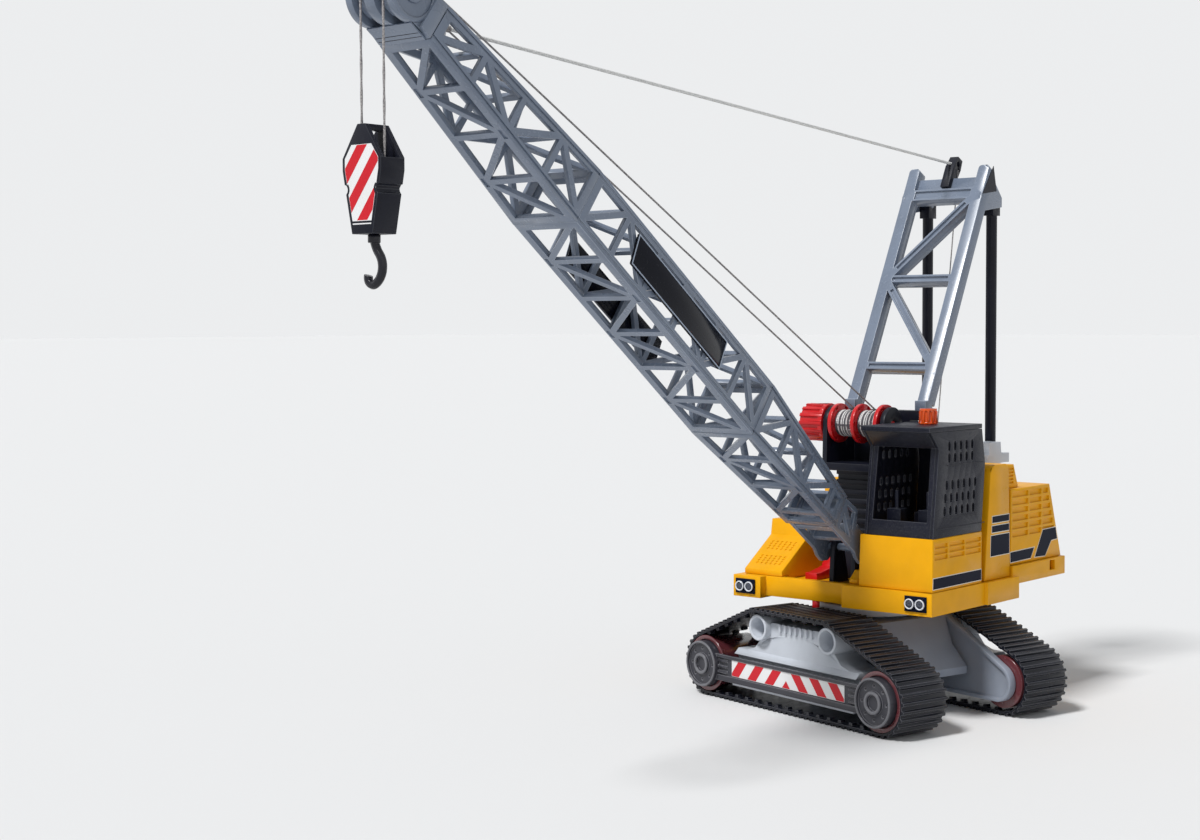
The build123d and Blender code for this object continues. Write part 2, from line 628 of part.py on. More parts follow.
save(drum, "winch_drum")
with BuildPart() as wound:
    for y0, y1 in ((flange_y[0] + flange_t, flange_y[1]), (flange_y[1] + flange_t, flange_y[2])):
        with BuildSketch(Plane.XZ.offset(-y1 + gap)):
            with Locations((winch_x, winch_z)):
                Circle(wound_r)
                Circle(drum_r + gap, mode=Mode.SUBTRACT)
        extrude(amount=y1 - y0 - 2 * gap)
save(wound, "wound_string")

# Gantry frame in its leaning plane: legs, rungs and diagonals; strut pins behind
gantry_dir = (-sin(radians(lean)), 0, cos(radians(lean)))
gantry_plane = Plane(origin=(foot_x, 0, foot_z), x_dir=(0, 1, 0),
                     z_dir=(cos(radians(lean)), 0, sin(radians(lean))))
leg_y = leg_in + leg_w / 2
top_rung = leg_long - 31.6
rungs = ((34.3, 6.5), (115.5, 6.5), (top_rung, 10.4))      # lower edge, height
panel_high, panel_t = 12.1, 6.5         # sunk panel above the top rung
diagonals = ((-leg_in, 124.0, leg_in, top_rung), (-leg_in, 113.0, leg_in, 43.0))
leg_round = 3.6         # rounding of the legs' tops
channel = 1.7           # edge left round the sunk faces
arm_t = 2.6             # arms that carry the struts' pins
sunk = 2.0
with BuildPart() as gantry:
    with BuildSketch(gantry_plane):
        for y in (-leg_y, leg_y):
            with Locations((y, (leg_long - leg_round) / 2 + 3)):
                Rectangle(leg_w, leg_long - leg_round - 6)
            with Locations((y, leg_long - leg_round)):
                RectangleRounded(leg_w, 2 * leg_round, leg_round - 0.4)
        for low, high in rungs:
            with Locations((0, low + high / 2)):
                Rectangle(2 * leg_in + 2, high)
        for ya, pa, yb, pb in diagonals:
            with Locations(Location(((ya + yb) / 2, (pa + pb) / 2, 0), (0, 0, degrees(atan2(pb - pa, yb - ya))))):
                Rectangle(hypot(yb - ya, pb - pa) + 4, 6.5)
    extrude(amount=leg_t / 2, both=True)
    with BuildSketch(gantry_plane.offset(-leg_t / 2)):
        with Locations((0, top_rung + rungs[2][1] + panel_high / 2)):
            Rectangle(2 * leg_in + 2, panel_high)
    extrude(amount=panel_t)
    for face, inward in ((leg_t / 2, -1), (-leg_t / 2, 1)):
        with BuildSketch(gantry_plane.offset(face)):
            for low, high in rungs:
                with Locations((0, low + high / 2)):
                    Rectangle(2 * (leg_in - channel), high - 2 * channel)
            for ya, pa, yb, pb in diagonals:
                with Locations(Location(((ya + yb) / 2, (pa + pb) / 2, 0), (0, 0, degrees(atan2(pb - pa, yb - ya))))):
                    Rectangle(hypot(yb - ya, pb - pa) - 12, 6.5 - 2 * channel)
        extrude(amount=inward * sunk, mode=Mode.SUBTRACT)
    with BuildSketch(Plane.XY.offset(foot_z)):
        with Locations((foot_x + 1, leg_y), (foot_x + 1, -leg_y)):
            Rectangle(11, leg_w)
    extrude(amount=8)
    for side in (1, -1):
        with BuildSketch(Plane.XZ.offset(-side * (leg_in + leg_w))):
            Polygon((-104, 402), (-110, 417), (-124, 437), (strut_x - 4, eye_z + 4), (strut_x - 4, eye_z - 4),
                    align=None)
        extrude(amount=side * arm_t)
        with BuildSketch(Plane.XZ.offset(-side * (leg_in + leg_w - arm_t))):
            with Locations((strut_x, eye_z)):
                Circle(strut_pin)
        extrude(amount=side * (leg_in + leg_w - arm_t - strut_y + strut_r))
save(gantry, "gantry")

# Rope guide on the crossbar, drawn across the lean (x forward, y up the legs)
guide_plane = Plane(origin=(foot_x, 4.0, foot_z), x_dir=(cos(radians(lean)), 0, sin(radians(lean))),
                    z_dir=(0, -1, 0))
guide_foot = top_rung + rungs[2][1] + panel_high + gap
guide_eye = guide_foot + 14.8
tongue = panel_t - leg_t / 2 + gap      # back of the tongue that hangs before the panel
with BuildPart() as guide:
    with BuildSketch(guide_plane):
        Polygon((-5, guide_foot), (tongue, guide_foot), (tongue, guide_foot - 10.4), (leg_t / 2, guide_foot - 10.4),
                (leg_t / 2, guide_eye - 5), (2, guide_eye + 6), (-6, guide_eye + 6), (-7, guide_eye - 3), align=None)
        with Locations((-1, guide_eye)):
            Circle(2.4, mode=Mode.SUBTRACT)
    extrude(amount=8.0)
save(guide, "rope_guide")

# Struts with eyes at their tops
with BuildPart() as struts:
    for side in (1, -1):
        with BuildSketch(Plane.XY.offset(base_step + gap)):
            with Locations((strut_x, side * strut_y)):
                Circle(strut_r)
        extrude(amount=eye_z - base_step - eye_drop)
        with BuildSketch(Plane.XZ.offset(-side * (strut_y - strut_r))):
            with Locations((strut_x, eye_z)):
                Circle(eye_r)
            with Locations((strut_x, eye_z - eye_drop / 2)):
                Rectangle(2 * eye_r, eye_drop)
        extrude(amount=-side * (leg_in + leg_w - arm_t - gap - strut_y + strut_r))
        with BuildSketch(Plane.XZ.offset(-side * (strut_y - strut_r))):
            with Locations((strut_x, eye_z)):
                Circle(strut_pin + gap)
        extrude(amount=-side * 3 * strut_r, mode=Mode.SUBTRACT)
save(struts, "gantry_struts")
base_front, base_ledge, base_rear = -112.0, -134.0, strut_x - 8.0
with BuildPart() as base:
    with BuildSketch(Plane.XZ.offset(45)):
        Polygon((base_front, base_low), (base_front, base_step), (base_front - 3, base_step),
                (base_front - 3, base_top), (base_ledge, base_top), (base_ledge - 1.5, base_step),
                (base_rear, base_step), (base_rear, base_step - 8), (base_ledge, base_step - 8),
                (base_ledge, base_low), align=None)
    extrude(amount=-90)
save(base, "strut_base")

# Boom sections: station, half width and half height at each end
sections = (  # name, s0, s1, w0, w1, h0, h1
    ("boom_lower", 56.0, 194.7, 23.0, 28.0, 14.0, 22.0),
    ("boom_middle", 195.0, 434.7, 28.0, 27.5, 22.0, 21.0),
    ("boom_upper", 435.0, 594.7, 27.5, 22.0, 21.0, 13.0),
)


def lattice_face(plane, length, half0, half1, first, start):
    # an edged frame with cross bars at every station and one zigzag between them
    with BuildSketch(plane) as face:
        Polygon((0, -half0), (length, -half1), (length, half1), (0, half0), align=None)
        Polygon((strip, -half0 + strip), (length - strip, -half1 + strip), (length - strip, half1 - strip),
                (strip, half0 - strip), align=None, mode=Mode.SUBTRACT)
        stations = [first + i * bay for i in range(int((length - first) / bay + 1.01))]
        for i, x in enumerate(stations):
            half = half0 + (half1 - half0) * x / length - strip / 2
            if 8 < x < length - 8:
                with Locations((x, 0)):
                    Rectangle(brace, 2 * half)
            if i + 1 < len(stations):
                x1 = stations[i + 1]
                half_1 = half0 + (half1 - half0) * x1 / length - strip / 2
                sign = 1 if (i + start) % 2 else -1
                ya, yb = sign * half, -sign * half_1
                with Locations(Location(((x + x1) / 2, (ya + yb) / 2, 0), (0, 0, degrees(atan2(yb - ya, x1 - x))))):
                    Rectangle(hypot(x1 - x, yb - ya), brace)
        Polygon((0, -half0), (length, -half1), (length, half1), (0, half0), align=None, mode=Mode.INTERSECT)
    return face.sketch


def chord_grooves(plane, length, half0, half1):
    # one narrow groove along the middle of each chord's flange
    with BuildSketch(plane) as grooves:
        for sign in (1, -1):
            a0, a1 = sign * (half0 - strip / 2), sign * (half1 - strip / 2)
            Polygon((0, a0 - groove / 2), (length, a1 - groove / 2), (length, a1 + groove / 2),
                    (0, a0 + groove / 2), align=None)
    return grooves.sketch


def node_slots(plane, length, half0, half1, first, parity):
    # a short slot in one flange at each station, on alternate sides
    with BuildSketch(plane) as slots:
        for i in range(int((length - first) / bay + 1.01)):
            x = first + i * bay
            y = (half0 + (half1 - half0) * x / length - strip / 2) * (1 if (i + parity) % 2 else -1)
            if slot_long < x < length - slot_long:
                with Locations((x, y)):
                    Rectangle(slot_long, 2 * groove)
    return slots.sketch


groove, groove_deep, slot_long = 1.7, 1.0, 8.0
for name, s0, s1, w0, w1, h0, h1 in sections:
    first = (bay - (s0 - 35.0) % bay) % bay
    parity = int(round((s0 + first - 35.0) / bay)) % 2
    with BuildPart() as lattice:
        cuts = []
        for sign in (1, -1):
            a, b = boom_point(s0, 0, sign * h0), boom_point(s1, 0, sign * h1)
            flat = Plane(origin=a, x_dir=b - a, z_dir=(b - a).cross(Vector(0, sign, 0)))
            add(extrude(lattice_face(flat, (b - a).length, w0, w1, first, parity + (sign > 0)), amount=-skin,
                        mode=Mode.PRIVATE))
            if sign > 0:
                grooves = chord_grooves(flat, (b - a).length, w0, w1)
            else:
                grooves = node_slots(flat, (b - a).length, w0, w1, first, parity)
            cuts.append(extrude(grooves, amount=-groove_deep, mode=Mode.PRIVATE))
            a, b = boom_point(s0, sign * w0, 0), boom_point(s1, sign * w1, 0)
            up = boom_point(0, 0, 1) - boom_point(0, 0, 0)
            flat = Plane(origin=a, x_dir=b - a, z_dir=(b - a).cross(up) * -sign)
            add(extrude(lattice_face(flat, (b - a).length, h0, h1, first, parity + (sign > 0)), amount=-skin,
                        mode=Mode.PRIVATE))
            cuts.append(extrude(chord_grooves(flat, (b - a).length, h0, h1), amount=-groove_deep, mode=Mode.PRIVATE))
        for cut in cuts:
            add(cut, mode=Mode.SUBTRACT)
    save(lattice, name)

# Boom foot: cheeks that narrow to the pivot, cross plate and pin
with BuildPart() as foot:
    for side in (1, -1):
        with BuildSketch(boom_side(side * 20.0)):
            Polygon((55.7, -14), (55.7, 14), (33.0, 16.5), (26.0, 4.0), (4, 8), (-6, 4), (-6, -4), (-4, -11),
                    (2.6, -15.7), (9.6, -15.5), (16.8, -12.8), align=None)
            with Locations((0, 0)):
                Circle(pivot_r + gap, mode=Mode.SUBTRACT)
            Polygon((50.5, -9.5), (50.5, 6.0), (29.5, -7.0), align=None, mode=Mode.SUBTRACT)
            Polygon((48.5, 11.0), (35.0, 12.5), (30.5, -0.5), align=None, mode=Mode.SUBTRACT)
        extrude(amount=side * 3.4)
    with BuildSketch(boom_side(20.0)):
        with Locations((50, 0)):
            Rectangle(6, 26)
        with Locations((24, 0)):
            Rectangle(5, 14)
    extrude(amount=40)
save(foot, "boom_foot")
with BuildPart() as pin:
    with BuildSketch(Plane.XZ.offset(-20.8)):
        with Locations((pivot_x, pivot_z)):
            Circle(pivot_r)
    extrude(amount=41.6)
save(pin, "boom_pin")

# Boom head: closed box plate and three cheek discs
head_half = 19.0
cheek_disc = ((-head_half, 4.5), (-4.0, 8.0), (head_half - 4.5, 4.5))     # low y, thickness
with BuildPart() as head:
    with BuildSketch(boom_side(22.0)):
        Polygon((595.4, -13), (595.4, 13), (604.5, 12), (604.5, -12), align=None)
    extrude(amount=44)
    for y, t in cheek_disc:
        with BuildSketch(boom_side(y)):
            with Locations((head_s, head_h)):
                Circle(cheek_r)
            Polygon((600, -12), (600, 12), (620, 14), (620, -14), align=None)
            with Locations((head_s, head_h)):
                Circle(3.2, mode=Mode.SUBTRACT)
        extrude(amount=-t)
save(head, "boom_head")
with BuildPart() as head_pin:
    with BuildSketch(boom_side(20.0)):
        with Locations((head_s, head_h)):
            Circle(2.9)
    extrude(amount=40)
save(head_pin, "head_pin")
with BuildPart() as sheaves:
    for side in (1, -1):
        with BuildSketch(boom_side(side * fall_y + 3.3)):
            with Locations((head_s, head_h)):
                Circle(groove_r)
                Circle(2.9 + run, mode=Mode.SUBTRACT)
        extrude(amount=6.6)
save(sheaves, "head_sheaves")

# Sign boards on both sides of the boom
for side, name in ((1, "sign_left"), (-1, "sign_right")):
    with BuildPart() as sign:
        with BuildSketch(boom_side(side * 28.3)):
            Polygon((258, -9.5), (378, -10), (383, 11), (262, 11.5), align=None)
        extrude(amount=-side * 2.0)
    save(sign, name)

# Falls, hook block, its sheave, the hook and the pendant rope
with BuildPart() as falls:
    for side in (1, -1):
        with BuildSketch(Plane.XY.offset(block_sheave_z)):
            with Locations((fall_x, side * fall_y)):
                Circle(string_r)
        extrude(amount=head_z - block_sheave_z)
save(falls, "falls")
notch_z, notch_r = 389.0, 3.0
block_half, block_peak, block_foot = 16.5, 3.2, 8.8     # half widths at the shoulders, top and foot
block_outline = ((-block_peak, block_top), (block_peak, block_top), (block_half, 407), (block_half, 400),
                 (block_foot, block_low), (-block_foot, block_low), (-block_half, 400), (-block_half, 407))
with BuildPart() as block:
    for x in (fall_x - block_t / 2, fall_x + block_t / 2 - plate_t):
        with BuildSketch(Plane.YZ.offset(x)):
            Polygon(*block_outline, align=None)
        extrude(amount=plate_t)
    with BuildSketch(Plane.YZ.offset(fall_x - block_t / 2)):
        Polygon((-block_half, 407), (-block_half, 400), (-block_foot, block_low), (block_foot, block_low),
                (block_half, 400), (block_half, 407), (block_half - 3, 407), (block_half - 3, 400), (8.5, 386),
                (-8.5, 386), (3 - block_half, 400), (3 - block_half, 407), align=None)
        Polygon((-block_peak, block_top), (block_peak, block_top), (block_peak, block_top - 3.5),
                (-block_peak, block_top - 3.5), align=None)
    extrude(amount=block_t)
    with BuildSketch(Plane.YZ.offset(fall_x - block_t / 2)):
        with Locations((0, block_sheave_z)):
            Circle(2.0)
    extrude(amount=block_t)
    with BuildSketch(Plane.XY.offset(block_low)):
        with Locations((fall_x, 0)):
            Circle(3.0 + run)
    extrude(amount=12, mode=Mode.SUBTRACT)
    with BuildSketch(Plane.XY.offset(block_low + 6)):
        with Locations((fall_x, 0)):
            Circle(5.0 + run)
    extrude(amount=6, mode=Mode.SUBTRACT)
    with BuildSketch(Plane.YZ.offset(fall_x - block_t / 2)):
        with Locations((-block_half + 1.6, notch_z), (block_half - 1.6, notch_z)):
            RegularPolygon(notch_r, 10)
    extrude(amount=block_t, mode=Mode.SUBTRACT)
save(block, "hook_block")
with BuildPart() as block_sheave:
    with BuildSketch(Plane.YZ.offset(fall_x - 3.0)):
        with Locations((0, block_sheave_z)):
            Circle(fall_y - string_r - 0.1)
            Circle(2.0 + run, mode=Mode.SUBTRACT)
    extrude(amount=6.0)
save(block_sheave, "block_sheave")
with BuildPart() as hook:
    with BuildSketch(Plane.XY.offset(block_low - 5)):
        with Locations((fall_x, 0)):
            Circle(3.8)
    extrude(amount=5 - gap)
    with BuildSketch(Plane.XY.offset(block_low - 5)):
        with Locations((fall_x, 0)):
            Circle(3.0)
    extrude(amount=15)
    with BuildSketch(Plane.XY.offset(block_low + 6.4)):
        with Locations((fall_x, 0)):
            Circle(4.8)
    extrude(amount=3)
    with BuildLine(Plane.YZ.offset(fall_x)) as bend:
        shank = ThreePointArc((0, 360), (1.6, 355.5), (4.2, 351.5))
        bulge = TangentArc(shank @ 1, (1.0, 333.9), tangent=shank % 1)
        TangentArc(bulge @ 1, (-5.2, 339), tangent=bulge % 1)
    with BuildSketch(Plane(origin=shank @ 0, z_dir=shank % 0)):
        RegularPolygon(2.8, 8)
    sweep(path=bend.wires()[0])
save(hook, "hook")
# Pendant rope from the guide's eye to the boom, in a rear and a front run that meet at the splice
eye_point = guide_plane.from_local_coords((-1, guide_eye, 4.0))
knot_s, knot_h = 575.0, 17.6
rope_to = boom_point(knot_s, 0, knot_h)
rope_long = (rope_to - eye_point).length
splice = 0.21 * rope_long
rope_runs = (  # name, start and end, measured from the eye
    ("pendant_rear", 8.0, splice - 6.0),
    ("pendant_rear_end", splice - 5.7, splice - 0.2),
    ("pendant_front_end", splice + 0.2, splice + 5.7),
    ("pendant_front", splice + 6.0, rope_long - 3.3),
)
for name, start, end in rope_runs:
    with BuildPart() as run_of_rope:
        with BuildSketch(Plane(origin=eye_point + (rope_to - eye_point).normalized() * start,
                               z_dir=rope_to - eye_point)):
            Circle(1.2)
        extrude(amount=end - start)
    save(run_of_rope, name)
with BuildPart() as knot:
    with BuildSketch(Plane(origin=rope_to, z_dir=rope_to - eye_point)):
        Circle(2.2)
    extrude(amount=3.0, both=True)
save(knot, "pendant_knot")
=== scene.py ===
import bpy
import bmesh
import math
import numpy as np
from mathutils import Matrix, Vector


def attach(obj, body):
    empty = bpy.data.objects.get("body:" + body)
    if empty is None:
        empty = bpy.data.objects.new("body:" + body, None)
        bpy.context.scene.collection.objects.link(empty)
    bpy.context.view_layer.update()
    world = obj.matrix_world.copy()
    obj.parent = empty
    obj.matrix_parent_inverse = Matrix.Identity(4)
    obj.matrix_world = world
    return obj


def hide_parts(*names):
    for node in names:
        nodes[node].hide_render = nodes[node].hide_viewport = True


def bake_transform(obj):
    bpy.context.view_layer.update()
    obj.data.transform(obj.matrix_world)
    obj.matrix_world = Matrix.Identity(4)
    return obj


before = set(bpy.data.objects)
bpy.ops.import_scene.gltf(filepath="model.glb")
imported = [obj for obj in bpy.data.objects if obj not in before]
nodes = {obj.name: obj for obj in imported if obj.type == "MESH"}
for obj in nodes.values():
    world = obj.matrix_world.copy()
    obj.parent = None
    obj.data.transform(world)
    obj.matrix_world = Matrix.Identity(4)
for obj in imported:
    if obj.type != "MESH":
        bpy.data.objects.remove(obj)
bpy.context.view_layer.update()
print("frame loaded,", len(nodes), "pieces")

# lengths below are in millimetres, and this makes them metres
mm = 0.001
xAxis, yAxis, zAxis = np.eye(3)
steepLimit = 0.2        # a path counts as upright where the level part of its direction is below this


# a shape is a pair: its points, then tables of faces whose rows hold corner numbers

def makeObject(name, shape, material, smooth=True):
    # one mesh object at the origin from a shape, with its faces turned outwards
    points, tables = shape
    mesh = bpy.data.meshes.new(name)
    mesh.from_pydata((points * mm).tolist(), [], [face for table in tables for face in table.tolist()])
    mesh.materials.append(material)
    mesh.polygons.foreach_set("use_smooth", np.full(len(mesh.polygons), smooth))
    work = bmesh.new()
    work.from_mesh(mesh)
    bmesh.ops.recalc_face_normals(work, faces=work.faces)
    work.to_mesh(mesh)
    work.free()
    made = bpy.data.objects.new(name, mesh)
    bpy.context.scene.collection.objects.link(made)
    return made


def ringFaces(rows, columns, closed=False):
    # quads between neighbours in a grid whose rows are rings; closed joins the last ring to the first
    i = np.arange(rows if closed else rows - 1)[:, None]
    j = np.arange(columns)[None]
    nextI, nextJ = (i + 1) % rows, (j + 1) % columns
    corners = [i * columns + j, i * columns + nextJ, nextI * columns + nextJ, nextI * columns + j]
    return np.stack(corners, -1).reshape(-1, 4)


def joinShapes(shapes):
    # several shapes as one: each one's corner numbers move on by the count of points before it
    starts = np.cumsum([0] + [len(points) for points, own in shapes])
    tables = [table + start for (points, own), start in zip(shapes, starts) for table in own]
    return np.concatenate([points for points, own in shapes]), tables


def pathFrames(path):
    # side = direction x up, or direction x X where the path is upright; then side x direction
    direction = np.gradient(path, axis=0)
    direction /= np.linalg.norm(direction, axis=1, keepdims=True)
    side = np.cross(direction, zAxis)
    upright = np.linalg.norm(side, axis=1) < steepLimit
    side[upright] = np.cross(direction[upright], xAxis)
    side /= np.linalg.norm(side, axis=1, keepdims=True)
    return side, np.cross(side, direction)


def ropeShape(path, rope):
    # twisted rope: at length s and ring angle a it is
    # radius * (1 + depth * cos(strands * (a - 2 pi s / lay))) from the path, with a cap at each end
    side, up = pathFrames(path)
    steps = np.linalg.norm(np.diff(path, axis=0), axis=1)
    length = np.concatenate([[0], np.cumsum(steps)])[:, None]
    angle = np.linspace(0, 2 * np.pi, rope["sides"], endpoint=False)
    wave = np.cos(rope["strands"] * (angle - 2 * np.pi * length / rope["lay"]))
    ring = np.cos(angle)[:, None] * side[:, None] + np.sin(angle)[:, None] * up[:, None]
    points = path[:, None] + (rope["radius"] * (1 + rope["depth"] * wave))[..., None] * ring
    first = np.arange(rope["sides"])
    last = first + (len(path) - 1) * rope["sides"]
    return points.reshape(-1, 3), [ringFaces(len(path), rope["sides"]), np.stack([first, last[::-1]])]


def layFlat(outline, origin, across, upward):
    # outline point (p, q) goes to origin + p * across + q * upward
    outline = np.asarray(outline, float)
    return np.asarray(origin, float) + outline[:, :1] * across + outline[:, 1:] * upward


def plateShape(outline, origin, across, upward, thick):
    # flat plate: the outline laid flat, and again one thickness further along across x upward
    low = layFlat(outline, origin, across, upward)
    count = len(low)
    i = np.arange(count)
    nextI = (i + 1) % count
    sides = np.stack([i, nextI, count + nextI, count + i], 1)
    high = low + np.cross(across, upward) * thick
    return np.concatenate([low, high]), [sides, np.stack([i[::-1], count + i])]


def insetOutline(outline, inset):
    # moves each edge of an outline inwards by the inset and meets it with the edge before it
    outline = np.asarray(outline, float)
    following = np.roll(outline, -1, axis=0)
    way = following - outline
    turn = np.sign(np.sum(outline[:, 0] * following[:, 1] - outline[:, 1] * following[:, 0]))
    normal = turn * np.stack([-way[:, 1], way[:, 0]], 1) / np.linalg.norm(way, axis=1)[:, None]
    level = np.sum(normal * outline, axis=1) + inset
    before, beforeLevel = np.roll(normal, 1, axis=0), np.roll(level, 1)
    cross = before[:, 0] * normal[:, 1] - before[:, 1] * normal[:, 0]
    return np.stack([(beforeLevel * normal[:, 1] - level * before[:, 1]) / cross,
                     (before[:, 0] * level - normal[:, 0] * beforeLevel) / cross], 1)


def borderShape(outline, width, origin, across, upward, thick):
    # flat border of four loops: the outline below and above, then the inset outline above and below
    outer = layFlat(outline, origin, across, upward)
    inner = layFlat(insetOutline(outline, width), origin, across, upward)
    lift = np.cross(across, upward) * thick
    points = np.concatenate([outer, outer + lift, inner + lift, inner])
    return points, [ringFaces(4, len(outer), closed=True)]


def latheShape(profile, centre, axis, start, segments):
    # turned form: profile row (d, r) at angle a lies at
    # centre + d * axis + r * (cos(a) * start + sin(a) * axis x start); the last row joins the first
    profile = np.asarray(profile, float)[:, :, None, None]
    angle = np.linspace(0, 2 * np.pi, segments, endpoint=False)[:, None]
    ring = np.cos(angle) * start + np.sin(angle) * np.cross(axis, start)
    points = np.asarray(centre, float) + profile[:, 0] * axis + profile[:, 1] * ring
    return points.reshape(-1, 3), [ringFaces(len(profile), segments, closed=True)]


def linePath(start, end, step):
    # straight run: start + t * (end - start), with t in equal steps of about the given length
    start, end = np.asarray(start, float), np.asarray(end, float)
    count = max(2, int(np.linalg.norm(end - start) / step) + 1)
    return start + np.linspace(0, 1, count)[:, None] * (end - start)


def arcPath(centre, radius, y, fromAngle, toAngle, count):
    # circle in the plane across Y: angle 0 points to +X, a quarter turn to +Z
    a = np.radians(np.linspace(fromAngle, toAngle, count))
    return np.stack([centre[0] + radius * np.cos(a), np.full(count, y), centre[2] + radius * np.sin(a)], 1)


def rectangle(left, low, right, top):
    # outline of an upright rectangle
    return np.array([(left, low), (right, low), (right, top), (left, top)])


def clipBand(outline, normal, low, high):
    # part of a convex outline between two lines across the normal: corners with distance d inside stay, and
    # where d changes sign towards the next corner n, corner + (n - corner) * d / (d - d of n) is added
    for sign, limit in ((1, low), (-1, high)):
        d = sign * (outline @ normal - limit)
        nextD, following = np.roll(d, -1), np.roll(outline, -1, axis=0)
        crosses = d * nextD < 0
        share = d / np.where(crosses, d - nextD, 1)
        cuts = outline + share[:, None] * (following - outline)
        pairs = np.stack([outline, cuts], 1).reshape(-1, 2)
        outline = pairs[np.stack([d >= 0, crosses], 1).reshape(-1)]
    return outline


plasticLooks = {
    # colour, roughness, specular, grain in mm, grain as bump, coat, change of colour, speckle (grain points
    # painted lighter as glints)
    "yellowPlastic": ((0.80, 0.375, 0.004), 0.36, 0.13, 0.7, 0.10, 0.0, 0.06, 0.0),
    "greyPlastic": ((0.155, 0.190, 0.255), 0.27, 0.50, 0.7, 0.12, 0.15, 0.08, 0.0),
    "paleGreyPlastic": ((0.52, 0.55, 0.60), 0.38, 0.30, 0.8, 0.10, 0.04, 0.05, 0.0),
    # the next grey is the castings' pale grey darkened: painted shade for the inner frames and chassis body
    "shadedFrameGrey": ((0.27, 0.30, 0.36), 0.38, 0.25, 0.8, 0.10, 0.04, 0.06, 0.0),
    "blackPlastic": ((0.006, 0.007, 0.014), 0.38, 0.20, 0.6, 0.16, 0.0, 0.15, 0.0),
    # the cage's speckle: its grain painted as lighter points, painted glints
    "cagePlastic": ((0.005, 0.006, 0.014), 0.40, 0.22, 0.45, 0.60, 0.0, 0.20, 0.055),
    "trackRubber": ((0.004, 0.005, 0.010), 0.32, 0.30, 0.6, 0.20, 0.0, 0.20, 0.0),
    "barPlastic": ((0.034, 0.034, 0.043), 0.32, 0.38, 0.6, 0.15, 0.0, 0.12, 0.0),
    "redPlastic": ((0.56, 0.008, 0.012), 0.28, 0.30, 0.9, 0.06, 0.15, 0.06, 0.0),
    "stickerNavy": ((0.004, 0.007, 0.020), 0.34, 0.05, 1.5, 0.02, 0.0, 0.05, 0.0),
    "signBlack": ((0.004, 0.005, 0.010), 0.18, 0.12, 1.5, 0.02, 0.04, 0.05, 0.0),
    "stickerWhite": ((0.76, 0.76, 0.76), 0.34, 0.25, 1.5, 0.02, 0.0, 0.03, 0.0),
    "stickerRed": ((0.56, 0.010, 0.020), 0.34, 0.25, 1.5, 0.02, 0.0, 0.04, 0.0),
    "stickerEdge": ((0.80, 0.76, 0.66), 0.34, 0.25, 1.5, 0.02, 0.0, 0.03, 0.0),
    # pale tone for the signs' borders: a painted highlight of their recessed edges
    "signEdgeHighlight": ((0.36, 0.42, 0.52), 0.30, 0.30, 1.5, 0.02, 0.0, 0.03, 0.0),
    "rimMaroon": ((0.115, 0.026, 0.032), 0.20, 0.60, 0.9, 0.06, 0.45, 0.08, 0.0),
    "chromeRing": ((0.66, 0.68, 0.72), 0.20, 0.50, 1.5, 0.02, 0.10, 0.03, 0.0),
    "lampBowl": ((0.030, 0.036, 0.055), 0.10, 0.50, 1.5, 0.02, 0.30, 0.30, 0.0),
    "hookBlack": ((0.006, 0.006, 0.011), 0.22, 0.30, 0.9, 0.05, 0.10, 0.10, 0.0),
}
# the same plastics lighter, for their rounded edges: painted highlights along the edges
edgeHighlightColours = {
    "greyPlastic": (0.27, 0.31, 0.38),
    "blackPlastic": (0.030, 0.032, 0.040),
    "cagePlastic": (0.050, 0.053, 0.065),
    "trackRubber": (0.110, 0.110, 0.125),
    "barPlastic": (0.150, 0.150, 0.165),
}
plasticGrain = {
    "detail": 3.0, "relief": 0.2,                               # relief of the finest grain in mm
    "glossScale": 30.0, "glossDetail": 4.0, "glossSpread": 0.06,    # scales are patches per metre
    "shadeScale": 45.0, "shadeDetail": 5.0,
    # where the grain shows as painted glint points
    "glintSpeckleFrom": 0.56, "glintSpeckleTo": 0.68,
    "coatRoughness": 0.2,
}
wearLook = {
    "spot": 3.0, "detail": 5.0, "from": 0.60, "to": 0.68,       # spot size in mm, and where the noise shows
    "lighter": 0.10, "duller": 0.16,
    "paleTone": 0.8, "paleShare": 0.06,
}
beaconLook = {"colour": (0.95, 0.13, 0.012), "rough": 0.12, "roughTo": 0.20, "through": 0.45, "ior": 1.46,
              "swirl": 120.0, "detail": 2.0}
stringLooks = {
    # colour of the thread, colour between its fibres
    "paleString": ((0.82, 0.82, 0.80), (0.50, 0.50, 0.50)),
    "greyString": ((0.40, 0.38, 0.37), (0.14, 0.13, 0.14)),
    "stringShade": ((0.10, 0.09, 0.10), (0.03, 0.03, 0.04)),
}
stringGrain = {"rough": 0.75, "fibres": 1100.0, "detail": 3.0, "darkTo": 0.36, "paleFrom": 0.60,
               "bump": 0.4, "relief": 0.1}


def newMaterial(name):
    # material with its node tree and its main shader
    made = bpy.data.materials.new(name)
    made.use_nodes = True
    return made, made.node_tree, made.node_tree.nodes["Principled BSDF"]


def fullColour(colour):
    # colour as four numbers, none above 1
    return (*np.minimum(colour, 1.0), 1.0)


def noiseNode(tree, scale, detail):
    # fractal noise over the object's own coordinates
    place = tree.nodes.new("ShaderNodeTexCoord")
    made = tree.nodes.new("ShaderNodeTexNoise")
    made.inputs["Scale"].default_value = scale
    made.inputs["Detail"].default_value = detail
    tree.links.new(place.outputs["Object"], made.inputs["Vector"])
    return made.outputs["Fac"]


def rangeNode(tree, source, low, high, start=0.3, end=0.7):
    # spreads the part of the noise between start and end over low to high
    made = tree.nodes.new("ShaderNodeMapRange")
    made.inputs["From Min"].default_value = start
    made.inputs["From Max"].default_value = end
    made.inputs["To Min"].default_value = low
    made.inputs["To Max"].default_value = high
    tree.links.new(source, made.inputs["Value"])
    return made.outputs["Result"]


